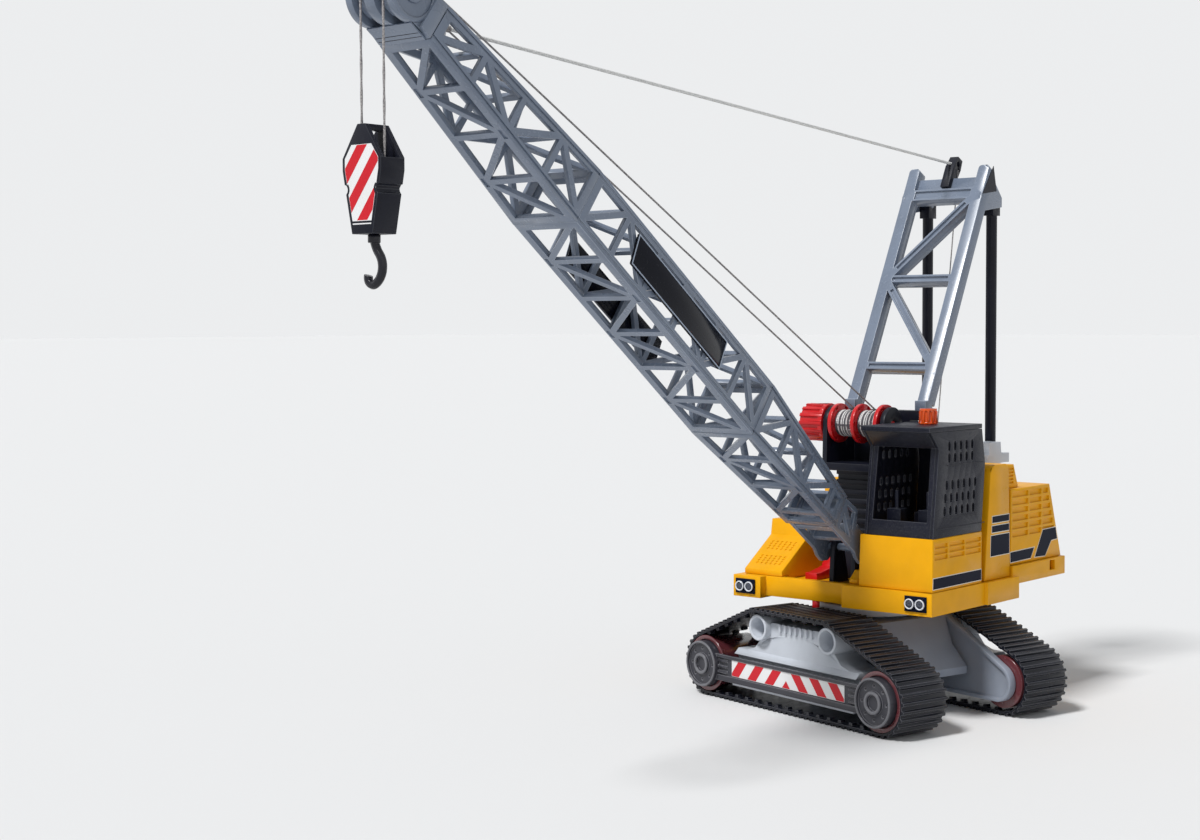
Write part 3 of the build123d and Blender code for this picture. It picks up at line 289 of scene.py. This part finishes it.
def mathNode(tree, operation, first, second):
    # one operation on two values, each a socket or a fixed number
    made = tree.nodes.new("ShaderNodeMath")
    made.operation = operation
    for socket, value in zip(made.inputs, (first, second)):
        if isinstance(value, float):
            socket.default_value = value
        else:
            tree.links.new(value, socket)
    return made.outputs[0]


def mixNode(tree, factor, first, second):
    # colour between two others, each a socket or a fixed colour
    made = tree.nodes.new("ShaderNodeMix")
    made.data_type = "RGBA"
    tree.links.new(factor, made.inputs["Factor"])
    for socket, value in ((made.inputs["A"], first), (made.inputs["B"], second)):
        if isinstance(value, tuple):
            socket.default_value = value
        else:
            tree.links.new(value, socket)
    return made.outputs["Result"]


def addBump(tree, shader, source, strength, relief):
    # small relief in the shading, its depth in millimetres
    made = tree.nodes.new("ShaderNodeBump")
    made.inputs["Strength"].default_value = strength
    made.inputs["Distance"].default_value = relief * mm
    tree.links.new(source, made.inputs["Height"])
    tree.links.new(made.outputs["Normal"], shader.inputs["Normal"])


def plasticMaterial(name, look, highlightColour=None):
    # moulded plastic: fine grain as bump, a slow change of gloss and colour, and small worn spots that are
    # lighter and duller;
    # speckled kinds show the grain as light points too, painted glints; a highlight colour, when given,
    # replaces the plastic's own, for painted highlights on rounded edges
    colour, rough, specular, grain, bump, coat, change, glintSpeckle = plasticLooks[look]
    colour = np.array(highlightColour or colour)
    g, w = plasticGrain, wearLook
    made, tree, shader = newMaterial(name)
    shader.inputs["Coat Weight"].default_value = coat
    shader.inputs["Coat Roughness"].default_value = g["coatRoughness"]
    shader.inputs["Specular IOR Level"].default_value = specular
    fine = noiseNode(tree, 1 / (grain * mm), g["detail"])
    addBump(tree, shader, fine, bump, g["relief"])
    spots = noiseNode(tree, 1 / (w["spot"] * mm), w["detail"])
    worn = rangeNode(tree, spots, 0.0, 1.0, w["from"], w["to"])
    patches = noiseNode(tree, g["glossScale"], g["glossDetail"])
    gloss = rangeNode(tree, patches, rough - g["glossSpread"], rough + g["glossSpread"])
    dull = mathNode(tree, "MULTIPLY", worn, w["duller"])
    tree.links.new(mathNode(tree, "ADD", gloss, dull), shader.inputs["Roughness"])
    slow = rangeNode(tree, noiseNode(tree, g["shadeScale"], g["shadeDetail"]), 0.0, 1.0)
    shade = mixNode(tree, slow, fullColour(colour * (1 - change)), fullColour(colour * (1 + change)))
    pale = fullColour(colour + (w["paleTone"] - colour) * w["paleShare"])
    shade = mixNode(tree, mathNode(tree, "MULTIPLY", worn, w["lighter"]), shade, pale)
    if glintSpeckle:
        points = rangeNode(tree, fine, 0.0, 1.0, g["glintSpeckleFrom"], g["glintSpeckleTo"])
        shade = mixNode(tree, points, shade, fullColour(colour + glintSpeckle))
    tree.links.new(shade, shader.inputs["Base Color"])
    return made


def clearMaterial(name, look):
    # coloured see-through plastic with a faint swirl in its gloss
    made, tree, shader = newMaterial(name)
    shader.inputs["Base Color"].default_value = fullColour(look["colour"])
    shader.inputs["Transmission Weight"].default_value = look["through"]
    shader.inputs["IOR"].default_value = look["ior"]
    swirl = noiseNode(tree, look["swirl"], look["detail"])
    tree.links.new(rangeNode(tree, swirl, look["rough"], look["roughTo"]), shader.inputs["Roughness"])
    return made


def stringMaterial(name, colour, dark):
    # twisted thread: fine fibres of a lighter and a darker tone
    g = stringGrain
    made, tree, shader = newMaterial(name)
    shader.inputs["Roughness"].default_value = g["rough"]
    fibres = noiseNode(tree, g["fibres"], g["detail"])
    ramp = tree.nodes.new("ShaderNodeValToRGB")
    tones = ((g["darkTo"], dark), (g["paleFrom"], colour))
    for stop, (position, tone) in zip(ramp.color_ramp.elements, tones):
        stop.position = position
        stop.color = fullColour(tone)
    tree.links.new(fibres, ramp.inputs["Fac"])
    tree.links.new(ramp.outputs["Color"], shader.inputs["Base Color"])
    addBump(tree, shader, fibres, g["bump"], g["relief"])
    return made


looks = {name: plasticMaterial(name, name) for name in plasticLooks}
# lighter copies of some plastics for their rounded edges: painted highlights
for name, colour in edgeHighlightColours.items():
    looks[name + "Edge"] = plasticMaterial(name + "Edge", name, colour)
looks["beaconOrange"] = clearMaterial("beaconOrange", beaconLook)
for name, (colour, dark) in stringLooks.items():
    looks[name] = stringMaterial(name, colour, dark)
print("materials")

# finish: rounding of the moulded edges in mm, then the CAD pieces that have it
finishOf = {
    "yellowPlastic": (0.50, ("deck", "cab_pedestal", "front_housing", "side_wedge", "cab_pillar",
                             "rear_hood", "louvre_tower")),
    "greyPlastic": (0.32, ("boom_lower", "boom_middle", "boom_upper", "boom_foot", "boom_head",
                           "head_sheaves", "head_pin", "gantry", "boom_pin")),
    "paleGreyPlastic": (0.40, ("casting_left", "casting_right", "turntable", "strut_base")),
    "rimMaroon": (0.30, ("wheels",)),
    # the inner frames and chassis body take the darkened grey as painted shade
    "shadedFrameGrey": (0.40, ("inner_frame_left", "inner_frame_right", "chassis_body")),
    "blackPlastic": (0.30, ("winch_frame", "rope_guide", "gantry_struts", "cab_seat", "control_levers",
                            "hook_block", "block_sheave", "boom_brackets")),
    "cagePlastic": (0.28, ("cab_left_wall", "cab_right_wall", "cab_rear_wall", "cab_front_frame",
                           "cab_roof")),
    "trackRubber": (0.14, ("track_left", "track_right")),
    "barPlastic": (0.28, ("side_bar_left", "side_bar_right")),
    "redPlastic": (0.32, ("winch_drum", "red_lever", "red_peg")),
    "hookBlack": (0.30, ("hook",)),
    "stickerNavy": (0.15, ("lamp_plates",)),
    "signBlack": (0.25, ("sign_left", "sign_right")),
    "beaconOrange": (0.25, ("beacon",)),
    "paleString": (0, ("pendant_rear", "pendant_rear_end", "pendant_front_end", "pendant_front")),
    "stringShade": (0, ("wound_string",)),
    "greyString": (0, ("falls", "pendant_knot")),
}
rounding = {
    "merge": 0.002, "segments": 2, "sharp": 32,
    # pieces with thin slivers, where the rounding stops before neighbouring edges would cross
    "clamped": ("boom_lower", "boom_upper", "boom_head", "gantry_struts"),
}


def roundEdges(made, width, edge):
    # merges the loose triangles, then gives every edge sharper than the limit a small rounding, in a
    # lighter colour
    # where the plastic has one: a painted highlight along the edges
    merge = made.modifiers.new("merge", "WELD")
    merge.merge_threshold = rounding["merge"] * mm
    bevel = made.modifiers.new("edges", "BEVEL")
    if edge in looks:
        made.data.materials.append(looks[edge])
        bevel.material = 1
    bevel.width = width * mm
    bevel.segments = rounding["segments"]
    bevel.limit_method = "ANGLE"
    bevel.angle_limit = math.radians(rounding["sharp"])
    bevel.use_clamp_overlap = made.name in rounding["clamped"]
    bevel.harden_normals = True
    made.data.polygons.foreach_set("use_smooth", np.full(len(made.data.polygons), True))


for look, (width, names) in finishOf.items():
    for name in names:
        nodes[name].data.materials.clear()
        nodes[name].data.materials.append(looks[look])
        if width:
            roundEdges(nodes[name], width, look + "Edge")
print("finishes set on", sum(len(names) for width, names in finishOf.values()), "CAD pieces")

# tracks: their own axes, turned from X
trackTurn = math.radians(76.0)
alongTrack = np.array([math.cos(trackTurn), math.sin(trackTurn), 0.0])
acrossTrack = np.array([-math.sin(trackTurn), math.cos(trackTurn), 0.0])

chevrons = {
    "halfLength": 67.0,
    "low": 21.2, "top": 34.3,
    "face": 91.05,              # distance of the bar's face from the middle
    "pitch": 21.3,
    "phase": 5.4,               # first stripe's upper corner from the middle
    "stripe": 10.5,
    "lean": 10.3,               # how far a stripe moves over the plate's height
    "numbers": (-1, 0, 1, 2),   # stripes in each half, counted from the first
    "margin": 0.3,
    "fieldThick": 0.15, "stripeThick": 0.08,
}


def chevronSticker(side):
    # white plate; in each half stripe k is the part between two leaning lines one stripe apart, cut to the
    # plate, and the other half mirrors it
    c = chevrons
    name = "chevrons_left" if side > 0 else "chevrons_right"
    along, out = alongTrack * -side, acrossTrack * side
    plate = rectangle(-c["halfLength"], c["low"], c["halfLength"], c["top"])
    field = plateShape(plate, out * c["face"], along, zAxis, c["fieldThick"])
    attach(makeObject(name + "_field", field, looks["stickerWhite"], smooth=False), "undercarriage")
    half = rectangle(0, c["low"] + c["margin"], c["halfLength"] - c["margin"], c["top"] - c["margin"])
    slope = c["lean"] / (c["top"] - c["low"])
    origin = out * (c["face"] + c["fieldThick"])
    stripes = []
    for k in c["numbers"]:
        low = c["phase"] + slope * c["top"] + k * c["pitch"]
        cut = clipBand(half, np.array([1.0, slope]), low, low + c["stripe"])
        for flat in (cut, (cut * [-1, 1])[::-1]):
            stripes.append(plateShape(flat, origin, along, zAxis, c["stripeThick"]))
    bars = makeObject(name + "_bars", joinShapes(stripes), looks["stickerRed"], smooth=False)
    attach(bars, "undercarriage")


chevronSticker(1)
chevronSticker(-1)

hubTrim = {
    "along": 102.0, "height": 27.0,     # middle of a hub disc along the track and above the floor
    "face": 96.0, "segments": 48,
    # profiles of the beads: distance from the face, radius
    "rim": ((0.0, 17.1), (0.45, 17.4), (0.6, 18.0), (0.35, 18.7), (0.0, 18.9)),
    "boss": ((0.0, 6.2), (0.5, 6.5), (0.7, 7.2), (0.5, 8.4), (0.0, 8.9)),
}


def hubBeads():
    # each bead's profile turned round the axis of each of the four hub discs
    h = hubTrim
    beads = []
    for side in (1, -1):
        for end in (1, -1):
            out = acrossTrack * side
            centre = alongTrack * end * h["along"] + out * h["face"] + zAxis * h["height"]
            for profile in (h["rim"], h["boss"]):
                beads.append(latheShape(profile, centre, out, zAxis, h["segments"]))
    return joinShapes(beads)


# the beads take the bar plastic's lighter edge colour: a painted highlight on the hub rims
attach(makeObject("hub_beads", hubBeads(), looks["barPlasticEdge"]), "undercarriage")
print("stripes on the side bars, hub beads")

sideStickers = {
    # face: distance from the middle; sides: ending of the name and side; shapes: outlines as (x, z)
    "hood_stripes": {"face": 90.0, "sides": {"_left": 1, "_right": -1}, "shapes": (
        ((-67.4, 122.9), (-108.3, 123.4), (-102.3, 115.2), (-67.9, 114.8)),
        ((-109.7, 115.3), (-123.5, 136.6), (-146.2, 137.0), (-149.2, 127.2), (-138.7, 126.7),
         (-127.9, 114.7)))},
    "pillar_labels": {"face": 91.0, "sides": {"": 1}, "shapes": (
        rectangle(-35.5, 149.7, -63.0, 154.8),
        rectangle(-35.0, 142.0, -63.0, 147.2),
        ((-33.0, 123.1), (-63.5, 123.1), (-63.5, 139.5), (-33.5, 139.5)))},
    "pedestal_band": {"face": 91.5, "sides": {"": 1}, "shapes": (
        ((57.0, 106.5), (-16.8, 106.5), (-16.8, 114.6), (56.7, 114.6)),)},
}
stickerLayers = {
    "edgeWidth": 0.6, "edgeLift": 0.04, "edgeThick": 0.08,
    "fieldLift": 0.12, "fieldThick": 0.10,
}


def sideSticker(name, spec, side):
    # each outline is laid flat on the side face, with a slightly wider pale edge under the dark field
    s = stickerLayers
    across, out = xAxis * -side, yAxis * side
    edges, fields = [], []
    for shape in spec["shapes"]:
        outline = np.array(shape) * [-side, 1]
        wider = insetOutline(outline, -s["edgeWidth"])
        edges.append(plateShape(wider, out * (spec["face"] + s["edgeLift"]), across, zAxis, s["edgeThick"]))
        fields.append(plateShape(outline, out * (spec["face"] + s["fieldLift"]), across, zAxis,
                                 s["fieldThick"]))
    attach(makeObject(name, joinShapes(fields), looks["stickerNavy"], smooth=False), "upper")
    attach(makeObject(name + "_edge", joinShapes(edges), looks["stickerEdge"], smooth=False), "upper")


for name, spec in sideStickers.items():
    for ending, side in spec["sides"].items():
        sideSticker(name + ending, spec, side)
print("stickers on the upper structure")

cageSeams = {
    "face": 91.2,
    "section": ((0, 0), (0.45, 0.1), (0.45, 0.42), (0, 0.7)),       # out from the wall, up
    "lines": ((36.4, -18.1, 199.8), (42.0, -8.5, 159.6), (52.0, -22.0, 151.5)),     # x from, x to, z
}


def cageSeamBars():
    # low ledges on the cab's side: one section, whose upper edge is drawn back, carried along each line
    c = cageSeams
    return joinShapes([plateShape(c["section"], (x0, c["face"], z), yAxis, zAxis, x1 - x0)
                       for x0, x1, z in c["lines"]])


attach(makeObject("cage_seams", cageSeamBars(), looks["cagePlastic"], smooth=False), "upper")

lampLook = {
    "pairs": (-80.5, 79.5), "apart": 4.6, "height": 95.0,       # middle of each pair in y, half its spacing
    "face": 62.0, "segments": 28,
    # profiles: distance from the face, radius
    "ring": ((2.2, 3.0), (2.8, 3.1), (3.1, 3.5), (3.0, 4.0), (2.2, 4.25)),
    "bowl": ((2.2, 3.0), (2.5, 2.3), (2.75, 1.3), (2.8, 0.15), (2.2, 0.15)),
}


def lampTurned(profile):
    # one profile turned round the axis of each of the four lamps
    p = lampLook
    places = [middle + hand * p["apart"] for middle in p["pairs"] for hand in (-1, 1)]
    return joinShapes([latheShape(profile, (p["face"], y, p["height"]), xAxis, yAxis, p["segments"])
                       for y in places])


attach(makeObject("lamp_rings", lampTurned(lampLook["ring"]), looks["chromeRing"]), "upper")
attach(makeObject("lamp_glass", lampTurned(lampLook["bowl"]), looks["lampBowl"]), "upper")
print("lamps")

# boom: its own axes, s along it from the pivot and h across it, turned up by its tilt
boomTilt = math.radians(37.0)
pivot = np.array([34.0, 0.0, 130.0])
alongBoom = np.array([math.cos(boomTilt), 0.0, math.sin(boomTilt)])
acrossBoom = np.array([-math.sin(boomTilt), 0.0, math.cos(boomTilt)])
headPin = (620.0, 2.0)      # (s, h)
headCentre = pivot + headPin[0] * alongBoom + headPin[1] * acrossBoom

signBorder = {
    "outline": ((258.0, -9.5), (378.0, -10.0), (383.0, 11.0), (262.0, 11.5)),       # (s, h)
    "face": 30.3, "width": 0.8, "thick": 0.25,
}


def signBorders():
    # pale border round each sign board, a painted highlight of its recessed edge; the way along is turned
    # about on the left, so both stand outwards
    b = signBorder
    borders = []
    for side in (1, -1):
        outline = np.array(b["outline"]) * [-side, 1]
        borders.append(borderShape(outline, b["width"], pivot + yAxis * side * b["face"],
                                   -side * alongBoom, acrossBoom, b["thick"]))
    return joinShapes(borders)


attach(makeObject("sign_border_highlights", signBorders(), looks["signEdgeHighlight"], smooth=False), "boom")

headTrim = {
    "face": 19.0, "segments": 56,
    # profiles: distance from the face, radius
    "rim": ((0.0, 15.3), (0.7, 15.4), (1.2, 15.9), (1.3, 17.0), (1.0, 18.1), (0.0, 18.5)),
    "hub": ((0.0, 4.2), (1.2, 4.3), (1.6, 5.0), (1.5, 6.6), (1.0, 7.2), (0.0, 7.3)),
}
headPlate = {
    "outline": ((595.7, -13.15), (610.5, -13.7), (610.5, -14.7), (595.7, -14.2)),   # (s, h)
    "halfWidth": 18.8,
    "lines": (598.6, 601.8), "lineHalfWidth": 18.4, "lineLong": 0.4,
    "lineStart": 595.7, "lineLevel": -14.25, "lineFall": 0.0345,
    "lineBelow": 0.05, "lineAbove": 0.1,
}


def headRings():
    # raised rim and hub on the outer faces of the head's discs
    t = headTrim
    rings = []
    for side in (1, -1):
        for profile in (t["rim"], t["hub"]):
            centre = headCentre + yAxis * side * t["face"]
            rings.append(latheShape(profile, centre, yAxis * side, xAxis, t["segments"]))
    return joinShapes(rings)


def headPlateLines():
    # fine bars across the plate, each on its sloping underside: h = level - fall * (s - start)
    p = headPlate
    lines = []
    for s in p["lines"]:
        h = p["lineLevel"] - (s - p["lineStart"]) * p["lineFall"]
        flat = rectangle(s, h - p["lineBelow"], s + p["lineLong"], h + p["lineAbove"])
        lines.append(plateShape(flat, pivot + yAxis * p["lineHalfWidth"], alongBoom, acrossBoom,
                                2 * p["lineHalfWidth"]))
    return joinShapes(lines)


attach(makeObject("head_rims", headRings(), looks["greyPlastic"]), "boom")
headPlateShape = plateShape(headPlate["outline"], pivot + yAxis * headPlate["halfWidth"], alongBoom,
                            acrossBoom, 2 * headPlate["halfWidth"])
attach(makeObject("head_plate", headPlateShape, looks["greyPlastic"], smooth=False), "boom")
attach(makeObject("head_plate_lines", headPlateLines(), looks["blackPlastic"], smooth=False), "boom")
print("sign borders and head trim")

gantryShadePlates = {
    "outline": ((-129.4, 441.6), (-111.0, 417.5), (-134.7, 420.6)),     # (x, z)
    "face": 38.62, "thick": 0.5,
}


def gantryShadeShapes():
    # a flat dark triangle on each side of the gantry's top: painted shade on the sides of the legs
    g = gantryShadePlates
    plates = []
    for side in (1, -1):
        outline = np.array(g["outline"]) * [-side, 1]
        plates.append(plateShape(outline, yAxis * side * g["face"], xAxis * -side, zAxis, g["thick"]))
    return joinShapes(plates)


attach(makeObject("gantry_shade_plates", gantryShadeShapes(), looks["blackPlastic"], smooth=False), "upper")

# strings and ropes: depth is how far the strands stand out, as a share of the radius, and lay is the
# length of one twist
drumCentre = np.array([5.0, 0.0, 228.0])
hoistThread = {"radius": 0.75, "sides": 6, "strands": 2, "lay": 2.6, "depth": 0.14}
hoistString = {
    "headRadius": 15.25, "drumRadius": 11.2,
    "runs": {"lead_string_right": (-14.0, -9.7), "lead_string_left": (5.5, 9.7)},   # y at drum, y at head
    "leaves": 62.0,             # angle at which the string ends on the head sheave
    "arcPoints": 14, "step": 1.3,
    "bend": 0.65,               # share of the free run
}


def leadString(name, drumY, headY):
    # string from the drum's top over the head sheave: the line that touches both circles, then an arc
    h = hoistString
    way = headCentre - drumCentre
    spread = math.asin((h["headRadius"] - h["drumRadius"]) / np.linalg.norm(way))
    touch = 90 + math.degrees(math.atan2(way[2], way[0]) + spread)
    start = arcPath(drumCentre, h["drumRadius"], drumY, touch, touch, 1)[0]
    over = arcPath(headCentre, h["headRadius"], headY, touch, h["leaves"], h["arcPoints"])
    path = np.concatenate([linePath(start, over[0], h["step"])[:-1], over])
    made = makeObject(name, ropeShape(path, hoistThread), looks["greyString"])
    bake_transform(made)


for name, (drumY, headY) in hoistString["runs"].items():
    leadString(name, drumY, headY)

fallString = {
    "x": 543.2, "y": 9.7, "sheaveZ": 404.0,
    "step": 1.2, "underPoints": 16,
    "overFrom": 88.0, "overTo": 0.0, "overPoints": 14,      # angles on the head sheave
    "steady": 18,               # length above the block's sheave
}


def fallsPath():
    # over one head sheave, down, under the block's sheave, and the mirrored way up over the other sheave
    f = fallString
    over = arcPath(headCentre, hoistString["headRadius"], f["y"], f["overFrom"], f["overTo"],
                   f["overPoints"])
    down = linePath((f["x"], f["y"], headCentre[2]), (f["x"], f["y"], f["sheaveZ"]), f["step"])
    a = np.linspace(0, -np.pi, f["underPoints"])
    under = np.stack([np.full(len(a), f["x"]), f["y"] * np.cos(a), f["sheaveZ"] + f["y"] * np.sin(a)], 1)
    overBack, upward = (path[::-1] * [1, -1, 1] for path in (over, down))
    return np.concatenate([over[:-1], down[:-1], under[:-1], upward[:-1], overBack])


fallPiece = makeObject("fall_strings", ropeShape(fallsPath(), hoistThread), looks["greyString"])
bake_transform(fallPiece)
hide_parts("falls")
print("hoist strings")

pendant = {
    "eye": (-131.84, 0.0, 445.21), "knot": (482.62, 0.0, 490.10),
    "splice": 0.21,             # where the two runs meet, as a share of the rope
    "overlap": 4.0,             # how far each run goes on past the splice
    "clear": 1.5,               # start of the rear run from the eye
    "step": 0.7,
    "radius": 1.15, "sides": 9, "strands": 3, "lay": 4.2, "depth": 0.18,
}


def pendantRun(name, fromShare, toShare, fromMm, toMm):
    # part of the straight rope between the guide's eye and the knot: shares of its length, moved on by mm
    p = pendant
    eye, knot = np.array(p["eye"]), np.array(p["knot"])
    whole = np.linalg.norm(knot - eye)
    unit = (knot - eye) / whole
    start, end = eye + unit * (whole * fromShare + fromMm), eye + unit * (whole * toShare + toMm)
    made = makeObject(name, ropeShape(linePath(start, end, p["step"]), p), looks["paleString"])
    return made, start * mm, end * mm


rearRun, rearStart, rearEnd = pendantRun("pendant_rope_rear", 0, pendant["splice"], pendant["clear"],
                                         pendant["overlap"])
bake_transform(rearRun)
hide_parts("pendant_rear", "pendant_rear_end")
frontRun, frontStart, frontEnd = pendantRun("pendant_rope_front", pendant["splice"], 1,
                                            -pendant["overlap"], 0)
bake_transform(frontRun)
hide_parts("pendant_front_end", "pendant_front")

woundCoil = {
    "spools": ((-25.1, -7.0), (-3.6, 14.5)),        # y of each spool's two ends
    "margin": 1.2, "pitch": 1.6, "helix": 10.1, "perTurn": 26,
    "swell": 0.35, "swellRate": 0.37, "drift": 0.25, "driftRate": 0.61,
    "radius": 0.66, "sides": 6, "strands": 2, "lay": 3.0, "depth": 0.10,
}


def woundCoils():
    # helix: angle a gives radius * (cos a, sin a) and moves one pitch along the drum in each turn;
    # slow waves in the radius and the pitch keep the turns from looking machined
    w = woundCoil
    coils = []
    for low, high in w["spools"]:
        turns = int((high - low - 2 * w["margin"]) / w["pitch"])
        a = np.linspace(0, 2 * np.pi * turns, turns * w["perTurn"] + 1)
        r = w["helix"] + w["swell"] * np.sin(a * w["swellRate"])
        drift = w["drift"] * np.sin(a * w["driftRate"])
        y = low + w["margin"] + w["radius"] + a / (2 * np.pi) * w["pitch"] + drift
        path = np.stack([drumCentre[0] + r * np.cos(a), y, drumCentre[2] + r * np.sin(a)], 1)
        coils.append(ropeShape(path, w))
    return joinShapes(coils)


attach(makeObject("wound_coils", woundCoils(), looks["paleString"]), "winch")

tagString = {
    "top": (-131.0, 4.0, 440.0), "foot": (-92.0, 4.0, 175.2), "step": 1.0,
    "radius": 0.5, "sides": 5, "strands": 2, "lay": 2.0, "depth": 0.14,
}
tagPath = linePath(tagString["top"], tagString["foot"], tagString["step"])
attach(makeObject("tag_string", ropeShape(tagPath, tagString), looks["greyString"]), "upper")
print("ropes and wound string")

blockStripes = {
    "outline": ((-14.3, 407.0), (-8.5, 415.0), (8.5, 415.0), (14.3, 407.0), (14.3, 400.5), (8.1, 370.5),
                (-8.1, 370.5), (-14.3, 400.5)),         # (y, z)
    "line": rectangle(-7.9, 368.5, 7.9, 369.2),
    "face": 9.4,                # distance of the sticker's underside from the falls
    "fieldThick": 0.15, "lineThick": 0.2,
    # bands: slant in degrees, distance of the first from the origin across the slant, spacing, width
    "slant": 51.7, "first": -260.0, "pitch": 13.4, "bandWidth": 6.9, "bands": 3,
    "bandScale": 0.985, "bandLift": 0.1, "bandThick": 0.09,
    # dark crescents: centre, inner and outer radius, angles from and to, points
    "notch": (14.9, 389.0), "notchRadii": (3.0, 4.5), "notchArc": (132, 228, 9), "notchThick": 0.25,
}


def blockSticker(side):
    # white plate with a pale line below; slanted red bands, each the outline cut between two parallel
    # lines; and a dark crescent round each notch: the arc of the outer radius and back along the inner one
    b = blockStripes
    name = "block_front" if side > 0 else "block_back"

    def plate(flat, lift, thick):
        # plate on the block's face, turned over on the back
        origin = (fallString["x"] + side * (b["face"] + lift), 0, 0)
        return plateShape(np.array(flat)[::side], origin, yAxis * side, zAxis, thick)

    field = [plate(b["outline"], 0, b["fieldThick"]), plate(b["line"], 0, b["lineThick"])]
    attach(makeObject(name + "_field", joinShapes(field), looks["stickerWhite"], smooth=False),
            "hook_block")
    slant = math.radians(b["slant"])
    normal = np.array([math.sin(slant), -math.cos(slant)])
    outline = np.array(b["outline"])
    smaller = outline * b["bandScale"] + outline.mean(0) * (1 - b["bandScale"])
    bands = []
    for k in range(b["bands"]):
        low = b["first"] + k * b["pitch"]
        cut = clipBand(smaller, normal, low, low + b["bandWidth"])
        bands.append(plate(cut, b["bandLift"], b["bandThick"]))
    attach(makeObject(name + "_bands", joinShapes(bands), looks["stickerRed"], smooth=False),
            "hook_block")
    a = np.radians(np.linspace(*b["notchArc"]))
    arc = np.stack([np.cos(a), np.sin(a)], 1)
    inner, outer = (b["notch"] + r * arc for r in b["notchRadii"])
    crescent = np.concatenate([outer, inner[::-1]])
    rims = [plate((crescent * [hand, 1])[::hand], 0, b["notchThick"]) for hand in (1, -1)]
    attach(makeObject(name + "_notches", joinShapes(rims), looks["blackPlastic"], smooth=False),
            "hook_block")


blockSticker(1)
blockSticker(-1)
print("hook block stripes")

cameraSpec = {
    "place": (1296.98, 816.79, 310.0),
    "yaw": 40.461, "down": 2.9527, "roll": 0.2484,
    "lens": 56.088, "sensor": 36.0,
    "near": 0.01, "far": 100,       # metres
}


def makeCamera():
    # looks back along the yaw and down angles, then rolls about its own axis
    c = cameraSpec
    yaw, down, roll = (math.radians(c[k]) for k in ("yaw", "down", "roll"))
    look = Vector((-math.cos(yaw) * math.cos(down), -math.sin(yaw) * math.cos(down), -math.sin(down)))
    right = look.cross(Vector((0, 0, 1))).normalized()
    low = look.cross(right).normalized()
    turnedRight = math.cos(roll) * right + math.sin(roll) * low
    turnedLow = -math.sin(roll) * right + math.cos(roll) * low
    data = bpy.data.cameras.new("photoCamera")
    data.lens, data.sensor_width = c["lens"], c["sensor"]
    data.clip_start, data.clip_end = c["near"], c["far"]
    made = bpy.data.objects.new("photoCamera", data)
    bpy.context.scene.collection.objects.link(made)
    basis = Matrix((turnedRight, -turnedLow, -look)).transposed().to_4x4()
    made.matrix_world = Matrix.Translation(Vector(c["place"]) * mm) @ basis
    bpy.context.scene.camera = made


makeCamera()

studioLamps = {
    # direction the light comes from, softness in degrees, strength
    "keyLamp": ((0.58, -0.08, 0.81), 12.0, 2.9),
    "fillLamp": ((0.30, 0.90, 0.30), 60.0, 0.25),
}
lampDistance = 2.0          # metres from the origin


def studioLamp(name, toward, soft, strength):
    # distant lamp whose light comes from one direction with soft edges
    data = bpy.data.lights.new(name, "SUN")
    data.angle, data.energy = math.radians(soft), strength
    made = bpy.data.objects.new(name, data)
    bpy.context.scene.collection.objects.link(made)
    made.location = Vector(toward).normalized() * lampDistance
    made.rotation_mode = "QUATERNION"
    made.rotation_quaternion = Vector(toward).to_track_quat("Z", "Y")


for name, (toward, soft, strength) in studioLamps.items():
    studioLamp(name, toward, soft, strength)

backdrop = {
    "light": (0.92, 0.96, 1.0), "strength": 0.32,       # what the world gives the object
    "seen": (0.84, 0.85, 0.86),                         # what the camera, gloss and glass see
    "floor": (0.78, 0.78, 0.78), "floorRough": 0.8,
    "floorHalf": 40000, "floorZ": -0.05,
}


def makeWorld():
    # soft light for the object, and a pale backdrop for camera, glossy and transmission rays
    world = bpy.data.worlds.new("studioWorld")
    world.use_nodes = True
    tree = world.node_tree
    light = tree.nodes["Background"]
    light.inputs["Color"].default_value = fullColour(backdrop["light"])
    light.inputs["Strength"].default_value = backdrop["strength"]
    seen = tree.nodes.new("ShaderNodeBackground")
    seen.inputs["Color"].default_value = fullColour(backdrop["seen"])
    seen.inputs["Strength"].default_value = 1.0
    rays = tree.nodes.new("ShaderNodeLightPath").outputs
    direct = mathNode(tree, "MAXIMUM", rays["Is Camera Ray"], rays["Is Glossy Ray"])
    mix = tree.nodes.new("ShaderNodeMixShader")
    tree.links.new(mathNode(tree, "MAXIMUM", direct, rays["Is Transmission Ray"]), mix.inputs["Fac"])
    tree.links.new(light.outputs["Background"], mix.inputs[1])
    tree.links.new(seen.outputs["Background"], mix.inputs[2])
    tree.links.new(mix.outputs["Shader"], tree.nodes["World Output"].inputs["Surface"])
    bpy.context.scene.world = world


def makeFloor():
    # one large level square just under the tracks
    half = backdrop["floorHalf"]
    material, tree, shader = newMaterial("paleFloor")
    shader.inputs["Base Color"].default_value = fullColour(backdrop["floor"])
    shader.inputs["Roughness"].default_value = backdrop["floorRough"]
    points = layFlat(rectangle(-half, -half, half, half), zAxis * backdrop["floorZ"], xAxis, yAxis)
    return makeObject("studioFloor", (points, [np.arange(4)[None]]), material, smooth=False)


makeWorld()
makeFloor()
bpy.context.scene.view_settings.view_transform = "Standard"
print("camera, lamps and floor")
